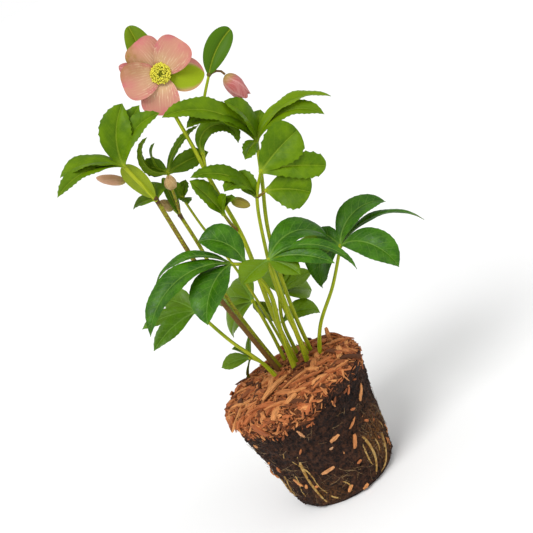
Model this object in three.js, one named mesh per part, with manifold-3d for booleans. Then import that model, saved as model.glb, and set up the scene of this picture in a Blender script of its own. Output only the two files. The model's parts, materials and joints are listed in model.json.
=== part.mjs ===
// A hellebore in flower, knocked out of its nursery pot and standing on its bare root ball.
// Millimetres, +Z up, origin at the middle of the root ball's flat underside, -Y towards the front.
// Every leaf, leafy flower stem, bud and bloom is one solid, and the stems stand in holes in the root ball.
import * as THREE from "three";
import { mergeVertices } from "three/addons/utils/BufferGeometryUtils.js";
import Module from "manifold-3d";

const wasm = await Module();
wasm.setup();

const { Vector3, Quaternion, Matrix4, MathUtils } = THREE;
const rad = MathUtils.degToRad;

// ---- Driving dimensions ----

const GAP = 0.3; // clearance between neighbouring pieces
const SOIL = { footRadius: 45, topRadius: 59, height: 88, footRound: 5, lump: 1.3, sides: 26 };
const MULCH = {
  radius: 62, underside: SOIL.height + GAP, rim: 99, crown: 104, lump: 1.2, lift: 0.8, sides: 24,
};
const CHIPS = {
  top: 26, rim: 11, caught: 5, length: [11, 26], caughtLength: [8, 13], caughtHeights: [18, 76],
  width: [3.5, 7], thickness: 2.6,
};
const ROOTS = {
  count: 9, radius: 1.1, taper: 0.7, sides: 4, spread: 38, steps: 3, high: [34, 62], low: [5, 16],
  sunk: -1.5, proud: 0.5,
};
const STALK = { footHeight: 80, step: 24, sides: 5, knuckle: 2.1, holeGap: 0.5 };
const AT_POINTS_ONLY = Infinity; // a tube's step when it needs a ring only at each point that it is given
const BLADE = {
  thickness: 0.8, fewestRings: 4, mostRings: 8, stalkHalfWidth: 1.1, tipHalfWidth: 0.4, toothedFrom: 0.3,
};
const BLOOM = {
  at: [30, 16, 364], facing: [0.03, -0.98, 0.17], hubRadius: 3.2, hubThickness: 2.2, sunk: 1.5,
};
const BUD_CLEARANCE = 0.6; // from the end of a bud's stalk to the bud's pointed base
// A bud's half-width, as a share of its widest, at shares of its length.
const BUD_PROFILE = [[0, 0], [0.4, 0.03], [0.85, 0.2], [1, 0.45], [0.85, 0.72], [0.4, 0.93], [0, 1]];

// A blade's width grows from its foot as share ** foot and shrinks to its tip as (1 - share) ** point.
// It is folded along its rib by an angle on each side, its edge is toothed by a share of its width, and it
// has so many cells across and a ring about every ringStep along, crowded towards the tip past 1.
const OUTLINE = {
  mature: { foot: 1.3, point: 1.1, fold: 14, tooth: 0.04, cells: 2, ringStep: 10.5, crowd: 1.15 },
  young: { foot: 1.15, point: 0.95, fold: 16, tooth: 0.09, cells: 2, ringStep: 9.5, crowd: 1 },
  broad: { foot: 1.0, point: 0.45, fold: 14, tooth: 0.07, cells: 2, ringStep: 10, crowd: 1 },
  strap: { foot: 0.7, point: 0.5, fold: 18, tooth: 0.04, cells: 2, ringStep: 10, crowd: 1 },
  sepal: { foot: 0.75, point: 0.34, fold: 9, tooth: 0, cells: 4, ringStep: 6, crowd: 1.6 },
  pointed: { foot: 0.75, point: 0.62, fold: 9, tooth: 0, cells: 4, ringStep: 6, crowd: 1.2 },
};

const finish = (colour, roughness) =>
  new THREE.MeshStandardMaterial({ color: colour, roughness, metalness: 0 });
const FINISH = {
  matureLeaf: finish(0x2c6b22, 0.45),
  youngLeaf: finish(0x5f9a1c, 0.5),
  sepal: finish(0xd98a86, 0.55),
  budPink: finish(0xcf7f80, 0.5),
  budGreen: finish(0x9aa04a, 0.5),
  stamen: finish(0xd9d84a, 0.6),
  soil: finish(0x3a261b, 0.95),
  mulch: finish(0x9a5a35, 0.9),
};

// ---- The plant's plan ----
// A blade is (heading, rise, length, width, droop, roll): it leaves its whorl at that compass heading
// (0 along +X, 90 along +Y) and that angle above the level, bends down by droop over its length, and
// its face is rolled about its rib. A stalk is its foot's [x, y], the points that it passes, and its
// radius at each end.

const blade = (heading, rise, length, width, droop, roll = 0) =>
  ({ heading, rise, length, width, droop, roll });
const stalk = (points, footRadius, tipRadius) => ({ points, footRadius, tipRadius });
const whorl = (at, outline, ...blades) => ({ at, outline, blades });
const foot = (x, y) => [x, y, STALK.footHeight];
const behindBloom = (distance) => BLOOM.at.map((place, axis) => place - distance * BLOOM.facing[axis]);
const neckEnd = BLOOM.sunk + BLOOM.hubThickness / 2 + GAP;

const LEAVES = [
  {
    name: "leaf_front_left",
    finish: FINISH.matureLeaf,
    stalks: [
      stalk([foot(4, 8), [12, -4, 140], [20, -16, 178], [15, -34, 214]], 2.2, 1.7),
      stalk([[15, -34, 213], [6, -38, 220]], 1.6, 1.3),
    ],
    whorls: [
      whorl([6, -38, 220], "mature",
        blade(-165, 33, 93, 25, 95, -25),
        blade(-138, 5, 58, 32, 70, -20),
        blade(170, 52, 68, 13, 95, -10)),
      whorl([15, -34, 214], "mature", blade(160, 84, 44, 29, 88, -30)),
    ],
  },
  {
    name: "leaf_front_right",
    finish: FINISH.matureLeaf,
    stalks: [stalk([foot(16, 9), [24, -7, 144], [28, -18, 176], [32, -30, 206]], 2.2, 1.7)],
    whorls: [
      whorl([32, -30, 206], "mature",
        blade(20, 30, 64, 26, 110, 35),
        blade(-15, 10, 78, 11, 100, 20),
        blade(-30, -5, 54, 16, 45, 30),
        blade(-50, -20, 30, 18, 40, 20),
        blade(-140, 8, 36, 21, 20, -40)),
    ],
  },
  {
    name: "leaf_right",
    finish: FINISH.matureLeaf,
    stalks: [stalk([foot(22, 11), [41, 4, 123], [67, -4, 153], [87, -8, 180]], 1.7, 1.3)],
    whorls: [
      whorl([87, -8, 180], "mature",
        blade(15, 52, 60, 24, 100, 30),
        blade(10, 22, 82, 12, 85, 10),
        blade(-48, 10, 60, 28, 100, 20),
        blade(125, 60, 26, 15, 50, -20),
        blade(155, 38, 36, 14, 30, -30),
        blade(135, -8, 56, 36, 82, -60)),
    ],
  },
  {
    name: "leaf_low_left",
    finish: FINISH.matureLeaf,
    stalks: [stalk([foot(-6, 7), [-13, 4, 119], [-27, 1, 153], [-38, -5, 191]], 1.7, 1.3)],
    whorls: [
      whorl([-38, -5, 191], "mature",
        blade(130, 40, 34, 22, 35, -30),
        blade(175, 23, 46, 14, 35, -40),
        blade(-160, 5, 47, 16, 35, -50)),
    ],
  },
  {
    name: "leaf_small_left",
    finish: FINISH.matureLeaf,
    stalks: [stalk([foot(-10, 18), [-14, 20, 114], [-21, 22, 124]], 1.5, 1.2)],
    whorls: [
      whorl([-21, 22, 124], "mature",
        blade(155, 10, 29, 14, 25, -40),
        blade(125, -40, 28, 9, 25, -30),
        blade(60, 40, 26, 12, 20, -30),
        blade(-150, 65, 20, 12, 20, -30)),
    ],
  },
  {
    name: "leaf_back_left",
    finish: FINISH.matureLeaf,
    stalks: [stalk([foot(1, 31), [4, 32, 130], [4, 34, 162]], 1.7, 1.4)],
    whorls: [
      whorl([4, 34, 162], "mature",
        blade(150, -12, 46, 27, 65, -40),
        blade(60, -55, 34, 20, 25, 0),
        blade(125, 20, 45, 25, 45, -20),
        blade(95, 50, 35, 20, 60, 0)),
    ],
  },
  {
    name: "leaf_back_right",
    finish: FINISH.matureLeaf,
    stalks: [stalk([foot(14, 31), [17, 32, 134], [26, 34, 157]], 1.8, 1.4)],
    whorls: [
      whorl([26, 34, 157], "mature",
        blade(15, 10, 35, 20, 30, 30),
        blade(40, -15, 40, 30, 40, 60),
        blade(60, 30, 45, 25, 55, 10),
        blade(80, 40, 40, 22, 60, 0)),
      whorl([17, 32, 134], "mature", blade(0, 15, 36, 20, 85, 30)),
    ],
  },
  {
    name: "leaf_upper_right",
    finish: FINISH.youngLeaf,
    stalks: [stalk([foot(24, 25), [30, 16, 150], [43, 9, 215], [59, 4, 257], [69, 0, 285]], 1.8, 1.5)],
    whorls: [
      whorl([69, 0, 285], "young",
        blade(5, 38, 75, 17, 85, 15),
        blade(-5, 36, 64, 20, 100, 30),
        blade(-165, 78, 84, 20, 78, -55),
        blade(175, 102, 42, 24, 60, -25),
        blade(-170, 90, 67, 20, 115, -50),
        blade(-120, 5, 31, 12, 25, -60),
        blade(45, 50, 28, 15, 30, 30)),
    ],
  },
  {
    name: "leaf_mid_right",
    finish: FINISH.youngLeaf,
    stalks: [
      stalk([foot(21, 17), [25, 6, 163], [37, 1, 215], [48, -8, 248], [60, -19, 267]], 1.8, 1.3),
      stalk([[48, -8, 248], [57, -12, 250]], 1.2, 1.0),
    ],
    whorls: [
      whorl([60, -19, 267], "broad",
        blade(0, 25, 42, 32, 15, 75),
        blade(-10, -15, 50, 20, 20, 70)),
      whorl([57, -12, 250], "broad", blade(-30, -14, 36, 31, 25, 60)),
      whorl([48, -8, 249], "young",
        blade(-175, 78, 58, 15, 76, -45),
        blade(-150, 80, 34, 17, 110, -45),
        blade(100, 75, 25, 14, 30, -20)),
    ],
  },
  {
    name: "leaf_mid_left",
    finish: FINISH.youngLeaf,
    stalks: [stalk([foot(8, 24), [8, 18, 160], [5, 15, 205], [-1, 15, 245], [-3, 14, 272]], 1.3, 1.0)],
    whorls: [
      whorl([-3, 14, 272], "young",
        blade(-80, 0, 14, 10, 40, -30),
        blade(30, 50, 15, 9, 15, 35),
        blade(110, 75, 16, 12, 20, -40)),
    ],
  },
];

const FLOWER_STEMS = [
  {
    name: "flower_stem_left",
    finish: FINISH.youngLeaf,
    stalks: [
      stalk([foot(-2, 15), [-12, 5, 150], [-17, -3, 190], [-19, -9, 230], [-20, -14, 288]], 2.1, 1.8),
      stalk([[-20, -14, 286], [-24, -17, 304], [-28, -20, 322]], 1.9, 1.5),
      stalk([[-20, -14, 286], [-26, -8, 297], [-30, -4, 305], [-33, -3, 308]], 1.0, 1.1),
    ],
    whorls: [
      whorl([-20, -15, 288], "strap", blade(-150, 75, 36, 16, 5, 60)),
      whorl([-28, -20, 322], "young",
        blade(15, 80, 48, 25, 50, 65),
        blade(-5, 57, 52, 17, 75, 50),
        blade(15, 60, 48, 18, 40, 45),
        blade(-170, 45, 50, 22, 60, -20),
        blade(-155, 35, 60, 15, 65, -35)),
      whorl([-20, -14, 287], "young",
        blade(140, 10, 26, 13, 30, -20),
        blade(75, 30, 22, 16, 20, 30)),
    ],
  },
  {
    name: "flower_stem_middle",
    finish: FINISH.youngLeaf,
    stalks: [
      stalk([foot(0, 23), [-9, 12, 148], [-12, 5, 186], [-10, 2, 230], [-11, 0, 265]], 1.8, 1.5),
      stalk([[-11, 0, 263], [-8, -3, 275], [-6, -6, 286]], 1.1, 1.2),
      stalk([[-11, 0, 263], [-8, 5, 280], [-3, 10, 296]], 1.3, 1.1),
      stalk([[-11, 0, 263], [-12, 3, 266], [-13, 5, 269]], 0.9, 1.0),
    ],
    whorls: [
      whorl([-11, 0, 264], "strap", blade(60, 82, 32, 10, 5, 60)),
      whorl([-3, 10, 296], "young",
        blade(5, 4, 36, 15, 20, 75),
        blade(15, 45, 46, 7, 50, 30),
        blade(165, 50, 22, 15, 20, -60),
        blade(-20, 125, 30, 9, 110, 20),
        blade(10, 150, 43, 10, 150, -40)),
    ],
  },
  {
    name: "flower_stem_main",
    finish: FINISH.youngLeaf,
    stalks: [
      stalk([foot(9, 16), [13, 8, 150], [18, 4, 186], [23, 3, 225], [23, 3, 275], [24, 5, 305],
        [24, 9, 335], [25, 17, 350]], 2.3, 1.4),
      stalk([[23, 4, 283], [30, 7, 300], [37, 10, 313], [50, 12, 332], [62, 12, 346]], 1.5, 1.1),
      stalk([[61, 12, 345], [67, 13, 346], [72, 14, 343], [73, 14, 340]], 0.9, 0.9),
      stalk([[25, 14, 345], [21, 22, 358], [19, 24, 366], [15, 24, 372]], 0.9, 0.9),
      stalk([[22, 3, 230], [20, -5, 240], [19, -10, 250]], 1.4, 1.3),
      stalk([[19, -10, 249], [23, -8, 256], [27, -6, 258], [29, -6, 256]], 0.8, 0.9),
      stalk([[24, 14, 345], [27, 21, 356], behindBloom(8), behindBloom(neckEnd)], 1.4, 1.3),
    ],
    whorls: [
      whorl([24, 12, 342], "strap", blade(86, 50, 72, 24, -30, 15)),
      whorl([62, 12, 346], "strap", blade(5, 48, 39, 20, 35, 75)),
      whorl([28, 6, 296], "young",
        blade(0, 75, 54, 14, 210, 60),
        blade(5, 70, 46, 13, 160, 55)),
      whorl([19, -10, 250], "young",
        blade(-165, 80, 38, 18, 15, -60),
        blade(-45, 60, 20, 12, 30, 60),
        blade(-25, 60, 20, 8, 90, 30)),
    ],
  },
];

// A bud is the stem and the one of its stalks that it hangs from, its heading, rise, length and width.
const bud = (name, colour, stem, stalkIndex, heading, rise, length, width) =>
  ({ name, finish: colour, stem, stalkIndex, heading, rise, length, width });
const BUDS = [
  bud("bud_left", FINISH.budPink, "flower_stem_left", 2, 170, 35, 23, 8.5),
  bud("bud_middle", FINISH.budPink, "flower_stem_middle", 1, -60, 60, 12, 10),
  bud("bud_tall", FINISH.budPink, "flower_stem_main", 2, 0, -77, 24, 14.5),
  bud("bud_back", FINISH.budPink, "flower_stem_main", 3, 180, 50, 15, 11),
  bud("bud_green", FINISH.budGreen, "flower_stem_main", 5, -5, -45, 15.5, 8.5),
  bud("bud_spent", FINISH.budPink, "flower_stem_middle", 3, 140, 50, 13, 9),
];

// The sepals of the open bloom, seen from its front: heading 90 is up. The last one comes to a point.
const SEPALS = [
  blade(170, 35, 33, 29, 35),
  blade(29, 35, 32, 29, 35),
  blade(-120, 25, 33, 30, 30),
  blade(101, 20, 31, 29, 25),
];
const POINTED_SEPAL = blade(-30, 15, 34, 27, 20);
const CENTRE = {
  floor: 0.9,
  cone: { footRadius: 1.8, topRadius: 3.4, height: 2.4 },
  stamens: { count: 22, length: 6, radius: 0.4, anther: 1.05, tilt: 62 },
  nectaries: { count: 9, reach: 5.6, height: 4.4, foot: 0.6, radius: 1.1 },
};

// ---- Solids ----

/** A solid from a closed geometry. */
function toSolid(geometry) {
  const bare = geometry.clone();
  bare.deleteAttribute("normal");
  bare.deleteAttribute("uv");
  const merged = mergeVertices(bare, 1e-4);
  return new wasm.Manifold(new wasm.Mesh({
    numProp: 3,
    vertProperties: new Float32Array(merged.attributes.position.array),
    triVerts: new Uint32Array(merged.index.array),
  }));
}

/** One solid from closed geometries that run into each other. */
const fuse = (geometries) => geometries.map(toSolid).reduce((a, b) => a.add(b));

/** A named mesh of a solid's largest body; scraps that a cut left loose are dropped. */
function toMesh(solid, name, material) {
  const body = solid.decompose().reduce((a, b) => (b.volume() > a.volume() ? b : a));
  const { vertProperties, triVerts } = body.getMesh();
  const geometry = new THREE.BufferGeometry()
    .setAttribute("position", new THREE.BufferAttribute(vertProperties, 3))
    .setIndex(new THREE.BufferAttribute(triVerts, 1));
  geometry.computeVertexNormals();
  const mesh = new THREE.Mesh(geometry, material);
  mesh.name = name;
  return mesh;
}

const indexed = (points, faces) => new THREE.BufferGeometry().setFromPoints(points).setIndex(faces);

/** A tube through some points that tapers from one radius to another, with flat ends. */
function sweep(points, footRadius, tipRadius, sides = STALK.sides, step = STALK.step) {
  const curve = new THREE.CatmullRomCurve3(points.map((p) => new Vector3(...p)), false, "centripetal");
  const steps = Math.max(points.length - 1, Math.round(curve.getLength() / step));
  const frames = curve.computeFrenetFrames(steps, false);
  const vertices = [];
  const faces = [];
  for (let i = 0; i <= steps; i++) {
    const radius = MathUtils.lerp(footRadius, tipRadius, i / steps);
    const middle = curve.getPointAt(i / steps);
    for (let k = 0; k < sides; k++) {
      const turn = (2 * Math.PI * k) / sides;
      vertices.push(middle.clone()
        .addScaledVector(frames.normals[i], radius * Math.cos(turn))
        .addScaledVector(frames.binormals[i], radius * Math.sin(turn)));
    }
  }
  for (let i = 0; i < steps; i++) {
    for (let k = 0; k < sides; k++) {
      const a = i * sides + k;
      const b = i * sides + ((k + 1) % sides);
      faces.push(a, b, b + sides, a, b + sides, a + sides);
    }
  }
  const last = steps * sides;
  for (let k = 1; k < sides - 1; k++) faces.push(0, k + 1, k, last, last + k, last + k + 1);
  return indexed(vertices, faces);
}

/** A thin sheet between two grids of points, rows from foot to tip and columns from left to right. */
function sheet(top, under) {
  const rows = top.length;
  const columns = top[0].length;
  const t = (i, j) => i * columns + j;
  const u = (i, j) => (rows + i) * columns + j;
  const faces = [];
  for (let i = 0; i < rows - 1; i++) {
    for (let j = 0; j < columns - 1; j++) {
      faces.push(t(i, j), t(i, j + 1), t(i + 1, j + 1), t(i, j), t(i + 1, j + 1), t(i + 1, j));
      faces.push(u(i, j), u(i + 1, j + 1), u(i, j + 1), u(i, j), u(i + 1, j), u(i + 1, j + 1));
    }
    const r = columns - 1;
    faces.push(u(i, 0), t(i, 0), t(i + 1, 0), u(i, 0), t(i + 1, 0), u(i + 1, 0));
    faces.push(u(i, r), t(i + 1, r), t(i, r), u(i, r), u(i + 1, r), t(i + 1, r));
  }
  const n = rows - 1;
  for (let j = 0; j < columns - 1; j++) {
    faces.push(t(0, j), u(0, j), u(0, j + 1), t(0, j), u(0, j + 1), t(0, j + 1));
    faces.push(t(n, j), u(n, j + 1), u(n, j), t(n, j), t(n, j + 1), u(n, j + 1));
  }
  return indexed([...top.flat(), ...under.flat()], faces);
}

/** Half of a blade's width at a share of its length, as a share of its widest half. */
function outlineShare(share, { foot: footPower, point: pointPower }) {
  const widest = footPower / (footPower + pointPower);
  const at = (x) => x ** footPower * (1 - x) ** pointPower;
  return at(share) / at(widest);
}

/** The way that a heading and a rise point. */
const direction = (heading, rise) => new Vector3(
  Math.cos(rad(rise)) * Math.cos(rad(heading)), Math.cos(rad(rise)) * Math.sin(rad(heading)),
  Math.sin(rad(rise)));

/** One leaflet, bract or sepal: a thin arched blade, folded along its rib, with a toothed edge. */
function bladeGeometry(at, shape, outline) {
  const rings = MathUtils.clamp(
    Math.round(shape.length / outline.ringStep), BLADE.fewestRings, BLADE.mostRings);
  const shareAt = (i) => 1 - (1 - i / rings) ** outline.crowd;
  const heading = rad(shape.heading);
  const fold = rad(outline.fold);
  const place = new Vector3(...at);
  const top = [];
  const under = [];
  for (let i = 0; i <= rings; i++) {
    const share = shareAt(i);
    const along = direction(shape.heading, shape.rise - shape.droop * share);
    const side = new Vector3(-Math.sin(heading), Math.cos(heading), 0)
      .applyAxisAngle(along, rad(shape.roll));
    const face = new Vector3().crossVectors(along, side);
    const tooth = share > BLADE.toothedFrom && i < rings ? outline.tooth * (i % 2 ? -1 : 1) : 0;
    const half = Math.max(
      MathUtils.lerp(BLADE.stalkHalfWidth, BLADE.tipHalfWidth, share),
      0.5 * shape.width * outlineShare(share, outline) * (1 + tooth));
    const line = Array.from({ length: outline.cells + 1 }, (_, j) => {
      const across = 1 - (2 * j) / outline.cells;
      return place.clone()
        .addScaledVector(side, across * half * Math.cos(fold))
        .addScaledVector(face, Math.abs(across) * half * Math.sin(fold));
    });
    top.push(line.map((p) => p.clone().addScaledVector(face, BLADE.thickness / 2)));
    under.push(line.map((p) => p.clone().addScaledVector(face, -BLADE.thickness / 2)));
    if (i < rings) place.addScaledVector(along, shape.length * (shareAt(i + 1) - share));
  }
  return sheet(top, under);
}

/** A leaf or leafy stem: its stalks, its blades and a small knuckle at each whorl, fused. */
function leafySolid(plan) {
  const stalks = plan.stalks.map((s) => sweep(s.points, s.footRadius, s.tipRadius));
  const whorls = plan.whorls.flatMap(({ at, outline, blades }) => [
    new THREE.OctahedronGeometry(STALK.knuckle, 0).translate(...at),
    ...blades.map((b) => bladeGeometry(at, b, OUTLINE[outline])),
  ]);
  return fuse([...stalks, ...whorls]);
}

/** A pointed bud with five soft ribs, just past the end of its stalk. */
function budSolid({ stem, stalkIndex, heading, rise, length, width }) {
  const { points } = FLOWER_STEMS.find(({ name }) => name === stem).stalks[stalkIndex];
  const axis = direction(heading, rise);
  const base = new Vector3(...points.at(-1)).addScaledVector(axis, BUD_CLEARANCE);
  const profile = BUD_PROFILE.map(([radius, height]) =>
    new THREE.Vector2((radius * width) / 2, height * length));
  const lathe = new THREE.LatheGeometry(profile, 10);
  const p = lathe.attributes.position;
  for (let i = 0; i < p.count; i++) {
    const rib = 1 + 0.06 * Math.cos(5 * Math.atan2(p.getZ(i), p.getX(i)));
    p.setXYZ(i, p.getX(i) * rib, p.getY(i), p.getZ(i) * rib);
  }
  const turn = new Quaternion().setFromUnitVectors(new Vector3(0, 1, 0), axis);
  return toSolid(lathe.applyQuaternion(turn).translate(...base));
}

/** A source of numbers from 0 to 1 that depends only on its seed. */
function seeded(seed) {
  let state = seed;
  return () => {
    state = (state * 1664525 + 1013904223) % 4294967296;
    return state / 4294967296;
  };
}

/** The slow unevenness of the root ball, from -1 to 1. */
const lumps = (turn, z) =>
  0.5 * Math.sin(3 * turn + 1.3 + 0.05 * z)
  + 0.3 * Math.sin(5 * turn - 0.7 - 0.11 * z)
  + 0.2 * Math.sin(9 * turn + 0.2 * z);

/** A shape turned about Z from [radius, height] points and made uneven, its underside kept flat. */
function turned(profile, sides, lump, lift) {
  const points = profile.map(([radius, z]) => new THREE.Vector2(radius, z));
  const lathe = new THREE.LatheGeometry(points, sides).rotateX(Math.PI / 2);
  const p = lathe.attributes.position;
  const lowest = Math.min(...profile.map(([, z]) => z));
  for (let i = 0; i < p.count; i++) {
    const [x, y, z] = [p.getX(i), p.getY(i), p.getZ(i)];
    const radius = Math.hypot(x, y);
    if (radius < 1) continue;
    const wave = lumps(Math.atan2(y, x), z + radius);
    const swell = 1 + ((lump * wave) / radius) * Math.min(1, radius / 30);
    p.setXYZ(i, x * swell, y * swell, z > lowest + 0.01 ? z + lift * wave : z);
  }
  return lathe;
}

const soilRadius = (z) => MathUtils.lerp(SOIL.footRadius, SOIL.topRadius, z / SOIL.height);
const mulchTop = (radius) => MathUtils.lerp(MULCH.crown, MULCH.rim, (radius / MULCH.radius) ** 2);
const goldenTurn = Math.PI * (3 - Math.sqrt(5));

/** A splinter of bark: a skewed, tapering slab along its own X. */
function chip(length, random) {
  const width = MathUtils.lerp(...CHIPS.width, random());
  const slab = new THREE.BoxGeometry(length, width, CHIPS.thickness);
  const p = slab.attributes.position;
  const skew = (random() - 0.5) * width;
  const taper = 0.25 + 0.5 * random();
  for (let i = 0; i < p.count; i++) {
    const along = p.getX(i) / length;
    p.setY(i, p.getY(i) * (1 - taper * (along + 0.5)) + skew * along);
  }
  return slab;
}

/** Chips strewn over the mulch's top. */
function topChips() {
  const random = seeded(11);
  return Array.from({ length: CHIPS.top }, (_, i) => {
    const radius = (MULCH.radius - 5) * Math.sqrt((i + 0.5) / CHIPS.top);
    const piece = chip(MathUtils.lerp(...CHIPS.length, random()), random);
    piece.rotateX((random() - 0.5) * 0.7).rotateY((random() - 0.5) * 0.3).rotateZ(random() * Math.PI);
    return piece.translate(
      radius * Math.cos(i * goldenTurn), radius * Math.sin(i * goldenTurn), mulchTop(radius) + 0.4);
  });
}

/** Chips that lie against an upright side of the ball, round a ring of this radius at some heights. */
function sideChips(count, length, radiusAt, heights, random) {
  return Array.from({ length: count }, (_, i) => {
    const turn = (2 * Math.PI * (i + 0.6 * random())) / count;
    const z = MathUtils.lerp(...heights, random());
    const piece = chip(MathUtils.lerp(...length, random()), random)
      .rotateZ((random() - 0.5) * 1.6)
      .rotateX(Math.PI / 2 - 0.2 * random())
      .rotateZ(turn + Math.PI / 2);
    return piece.translate(radiusAt(z) * Math.cos(turn), radiusAt(z) * Math.sin(turn), z);
  });
}

/** Fleshy roots that run down the side of the soil, half sunk in it. */
function sideRoots() {
  const random = seeded(5);
  return Array.from({ length: ROOTS.count }, (_, i) => {
    const start = (360 * (i + 0.7 * random())) / ROOTS.count;
    const high = MathUtils.lerp(...ROOTS.high, random());
    const low = MathUtils.lerp(...ROOTS.low, random());
    const lean = (random() - 0.5) * ROOTS.spread;
    const points = Array.from({ length: ROOTS.steps + 1 }, (_, k) => {
      const share = k / ROOTS.steps;
      const turn = rad(start + lean * share + 3 * Math.sin(5 * share + i));
      const z = MathUtils.lerp(high, low, share);
      const proud = k === 0 || k === ROOTS.steps ? ROOTS.sunk : ROOTS.proud;
      const radius = soilRadius(z) + proud + SOIL.lump * lumps(turn, z + soilRadius(z));
      return [radius * Math.cos(turn), radius * Math.sin(turn), z];
    });
    return sweep(points, ROOTS.radius, ROOTS.radius * ROOTS.taper, ROOTS.sides, AT_POINTS_ONLY);
  });
}

/** The holes that the stems stand in. */
function stemHoles() {
  return fuse([...LEAVES, ...FLOWER_STEMS].map(({ stalks: [main] }) => {
    const [x, y, z] = main.points[0];
    const deeper = [[x, y, z - GAP], ...main.points.slice(1)];
    return sweep(deeper, main.footRadius + STALK.holeGap, main.tipRadius + STALK.holeGap);
  }));
}

function soilSolid(holes) {
  const { footRadius, topRadius, height, footRound, sides, lump } = SOIL;
  const wall = [0.3, 0.6, 0.85].map((share) => [soilRadius(height * share), height * share]);
  const profile = [[0, 0], [footRadius - footRound, 0], [footRadius, footRound], ...wall,
    [topRadius, height], [0, height]];
  const caught = sideChips(
    CHIPS.caught, CHIPS.caughtLength, soilRadius, CHIPS.caughtHeights, seeded(23));
  return fuse([turned(profile, sides, lump, 0), ...sideRoots(), ...caught]).subtract(holes);
}

function mulchSolid(holes) {
  const { radius, underside, rim, sides, lump, lift } = MULCH;
  const dome = [0.7, 0.35, 0].map((share) => [radius * share, mulchTop(radius * share)]);
  const wall = [
    [radius - 2.5, underside], [radius, underside + 4], [radius - 0.5, rim - 2], [radius - 4, rim]];
  const profile = [[0, underside], ...wall, ...dome];
  const rimChips = sideChips(
    CHIPS.rim, CHIPS.length, () => radius - 0.4, [underside + 4, rim - 2], seeded(31));
  const below = new THREE.BoxGeometry(300, 300, 20).translate(0, 0, underside - 10);
  return fuse([turned(profile, sides, lump, lift), ...topChips(), ...rimChips])
    .subtract(toSolid(below)).subtract(holes);
}

/** The matrix that carries a bloom built to face +Z, with +Y up, to its place and facing. */
function bloomMatrix() {
  const facing = new Vector3(...BLOOM.facing).normalize();
  const right = new Vector3().crossVectors(new Vector3(0, 0, 1), facing).normalize();
  const up = new Vector3().crossVectors(facing, right);
  return new Matrix4().makeBasis(right, up, facing).setPosition(...BLOOM.at);
}

/** The sepals, which spring from a small disc behind the bloom's own origin. */
function sepalsSolid() {
  const { hubRadius, hubThickness, sunk } = BLOOM;
  const hub = new THREE.CylinderGeometry(hubRadius, hubRadius, hubThickness, 10)
    .rotateX(Math.PI / 2).translate(0, 0, -sunk);
  const foot = [0, 0, -sunk];
  const blades = SEPALS.map((s) => bladeGeometry(foot, s, OUTLINE.sepal));
  const pointed = bladeGeometry(foot, POINTED_SEPAL, OUTLINE.pointed);
  return fuse([hub, ...blades, pointed].map((g) => g.applyMatrix4(bloomMatrix())));
}

/** The bloom's middle: a cone crowded with stamens, ringed by tubular nectaries. */
function centreSolid() {
  const { cone, stamens, nectaries, floor } = CENTRE;
  const core = new THREE.CylinderGeometry(cone.topRadius, cone.footRadius, cone.height, 9)
    .rotateX(Math.PI / 2).translate(0, 0, floor + cone.height / 2);
  const ray = (turn, out, up) => [out * Math.cos(turn), out * Math.sin(turn), floor + up];
  const filaments = Array.from({ length: stamens.count }, (_, i) => {
    const turn = i * goldenTurn;
    const spread = Math.sqrt((i + 0.5) / stamens.count);
    const tilt = rad(stamens.tilt * spread);
    const out = 0.8 * cone.topRadius * spread;
    const reach = stamens.length * (0.9 + 0.1 * Math.cos(7 * i));
    const from = ray(turn, out, cone.height - 0.6);
    const to = ray(turn, out + reach * Math.sin(tilt), cone.height + reach * Math.cos(tilt));
    return [
      sweep([from, to], stamens.radius, stamens.radius, 3, AT_POINTS_ONLY),
      new THREE.OctahedronGeometry(stamens.anther, 0).translate(...to),
    ];
  });
  const cups = Array.from({ length: nectaries.count }, (_, i) => {
    const turn = (2 * Math.PI * i) / nectaries.count;
    const from = ray(turn, cone.footRadius, 1.2);
    const to = ray(turn, nectaries.reach, nectaries.height);
    return sweep([from, to], nectaries.foot, nectaries.radius, 4, AT_POINTS_ONLY);
  });
  return fuse([core, ...filaments.flat(), ...cups].map((g) => g.applyMatrix4(bloomMatrix())));
}

// ---- The plant ----

const plant = new THREE.Group();
const holes = stemHoles();
plant.add(toMesh(soilSolid(holes), "root_ball", FINISH.soil));
plant.add(toMesh(mulchSolid(holes), "bark_mulch", FINISH.mulch));
for (const leafy of [...LEAVES, ...FLOWER_STEMS]) {
  plant.add(toMesh(leafySolid(leafy), leafy.name, leafy.finish));
}
for (const plan of BUDS) plant.add(toMesh(budSolid(plan), plan.name, plan.finish));
plant.add(toMesh(sepalsSolid(), "bloom_sepals", FINISH.sepal));
plant.add(toMesh(centreSolid(), "bloom_centre", FINISH.stamen));

export default plant;
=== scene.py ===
"""A hellebore in flower on its bare root ball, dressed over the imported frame.

The plan's sizes are millimetres; every mesh is made in metres, in the frame's own axes.
"""
import json
import logging
import random
from dataclasses import dataclass
from enum import Enum
from functools import cache
from math import atan2, copysign, cos, degrees, exp, hypot, pi, radians, sin, sqrt
from typing import Callable, Iterable, Sequence, Union

import bmesh
import bpy
from mathutils import Matrix, Vector, noise

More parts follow.
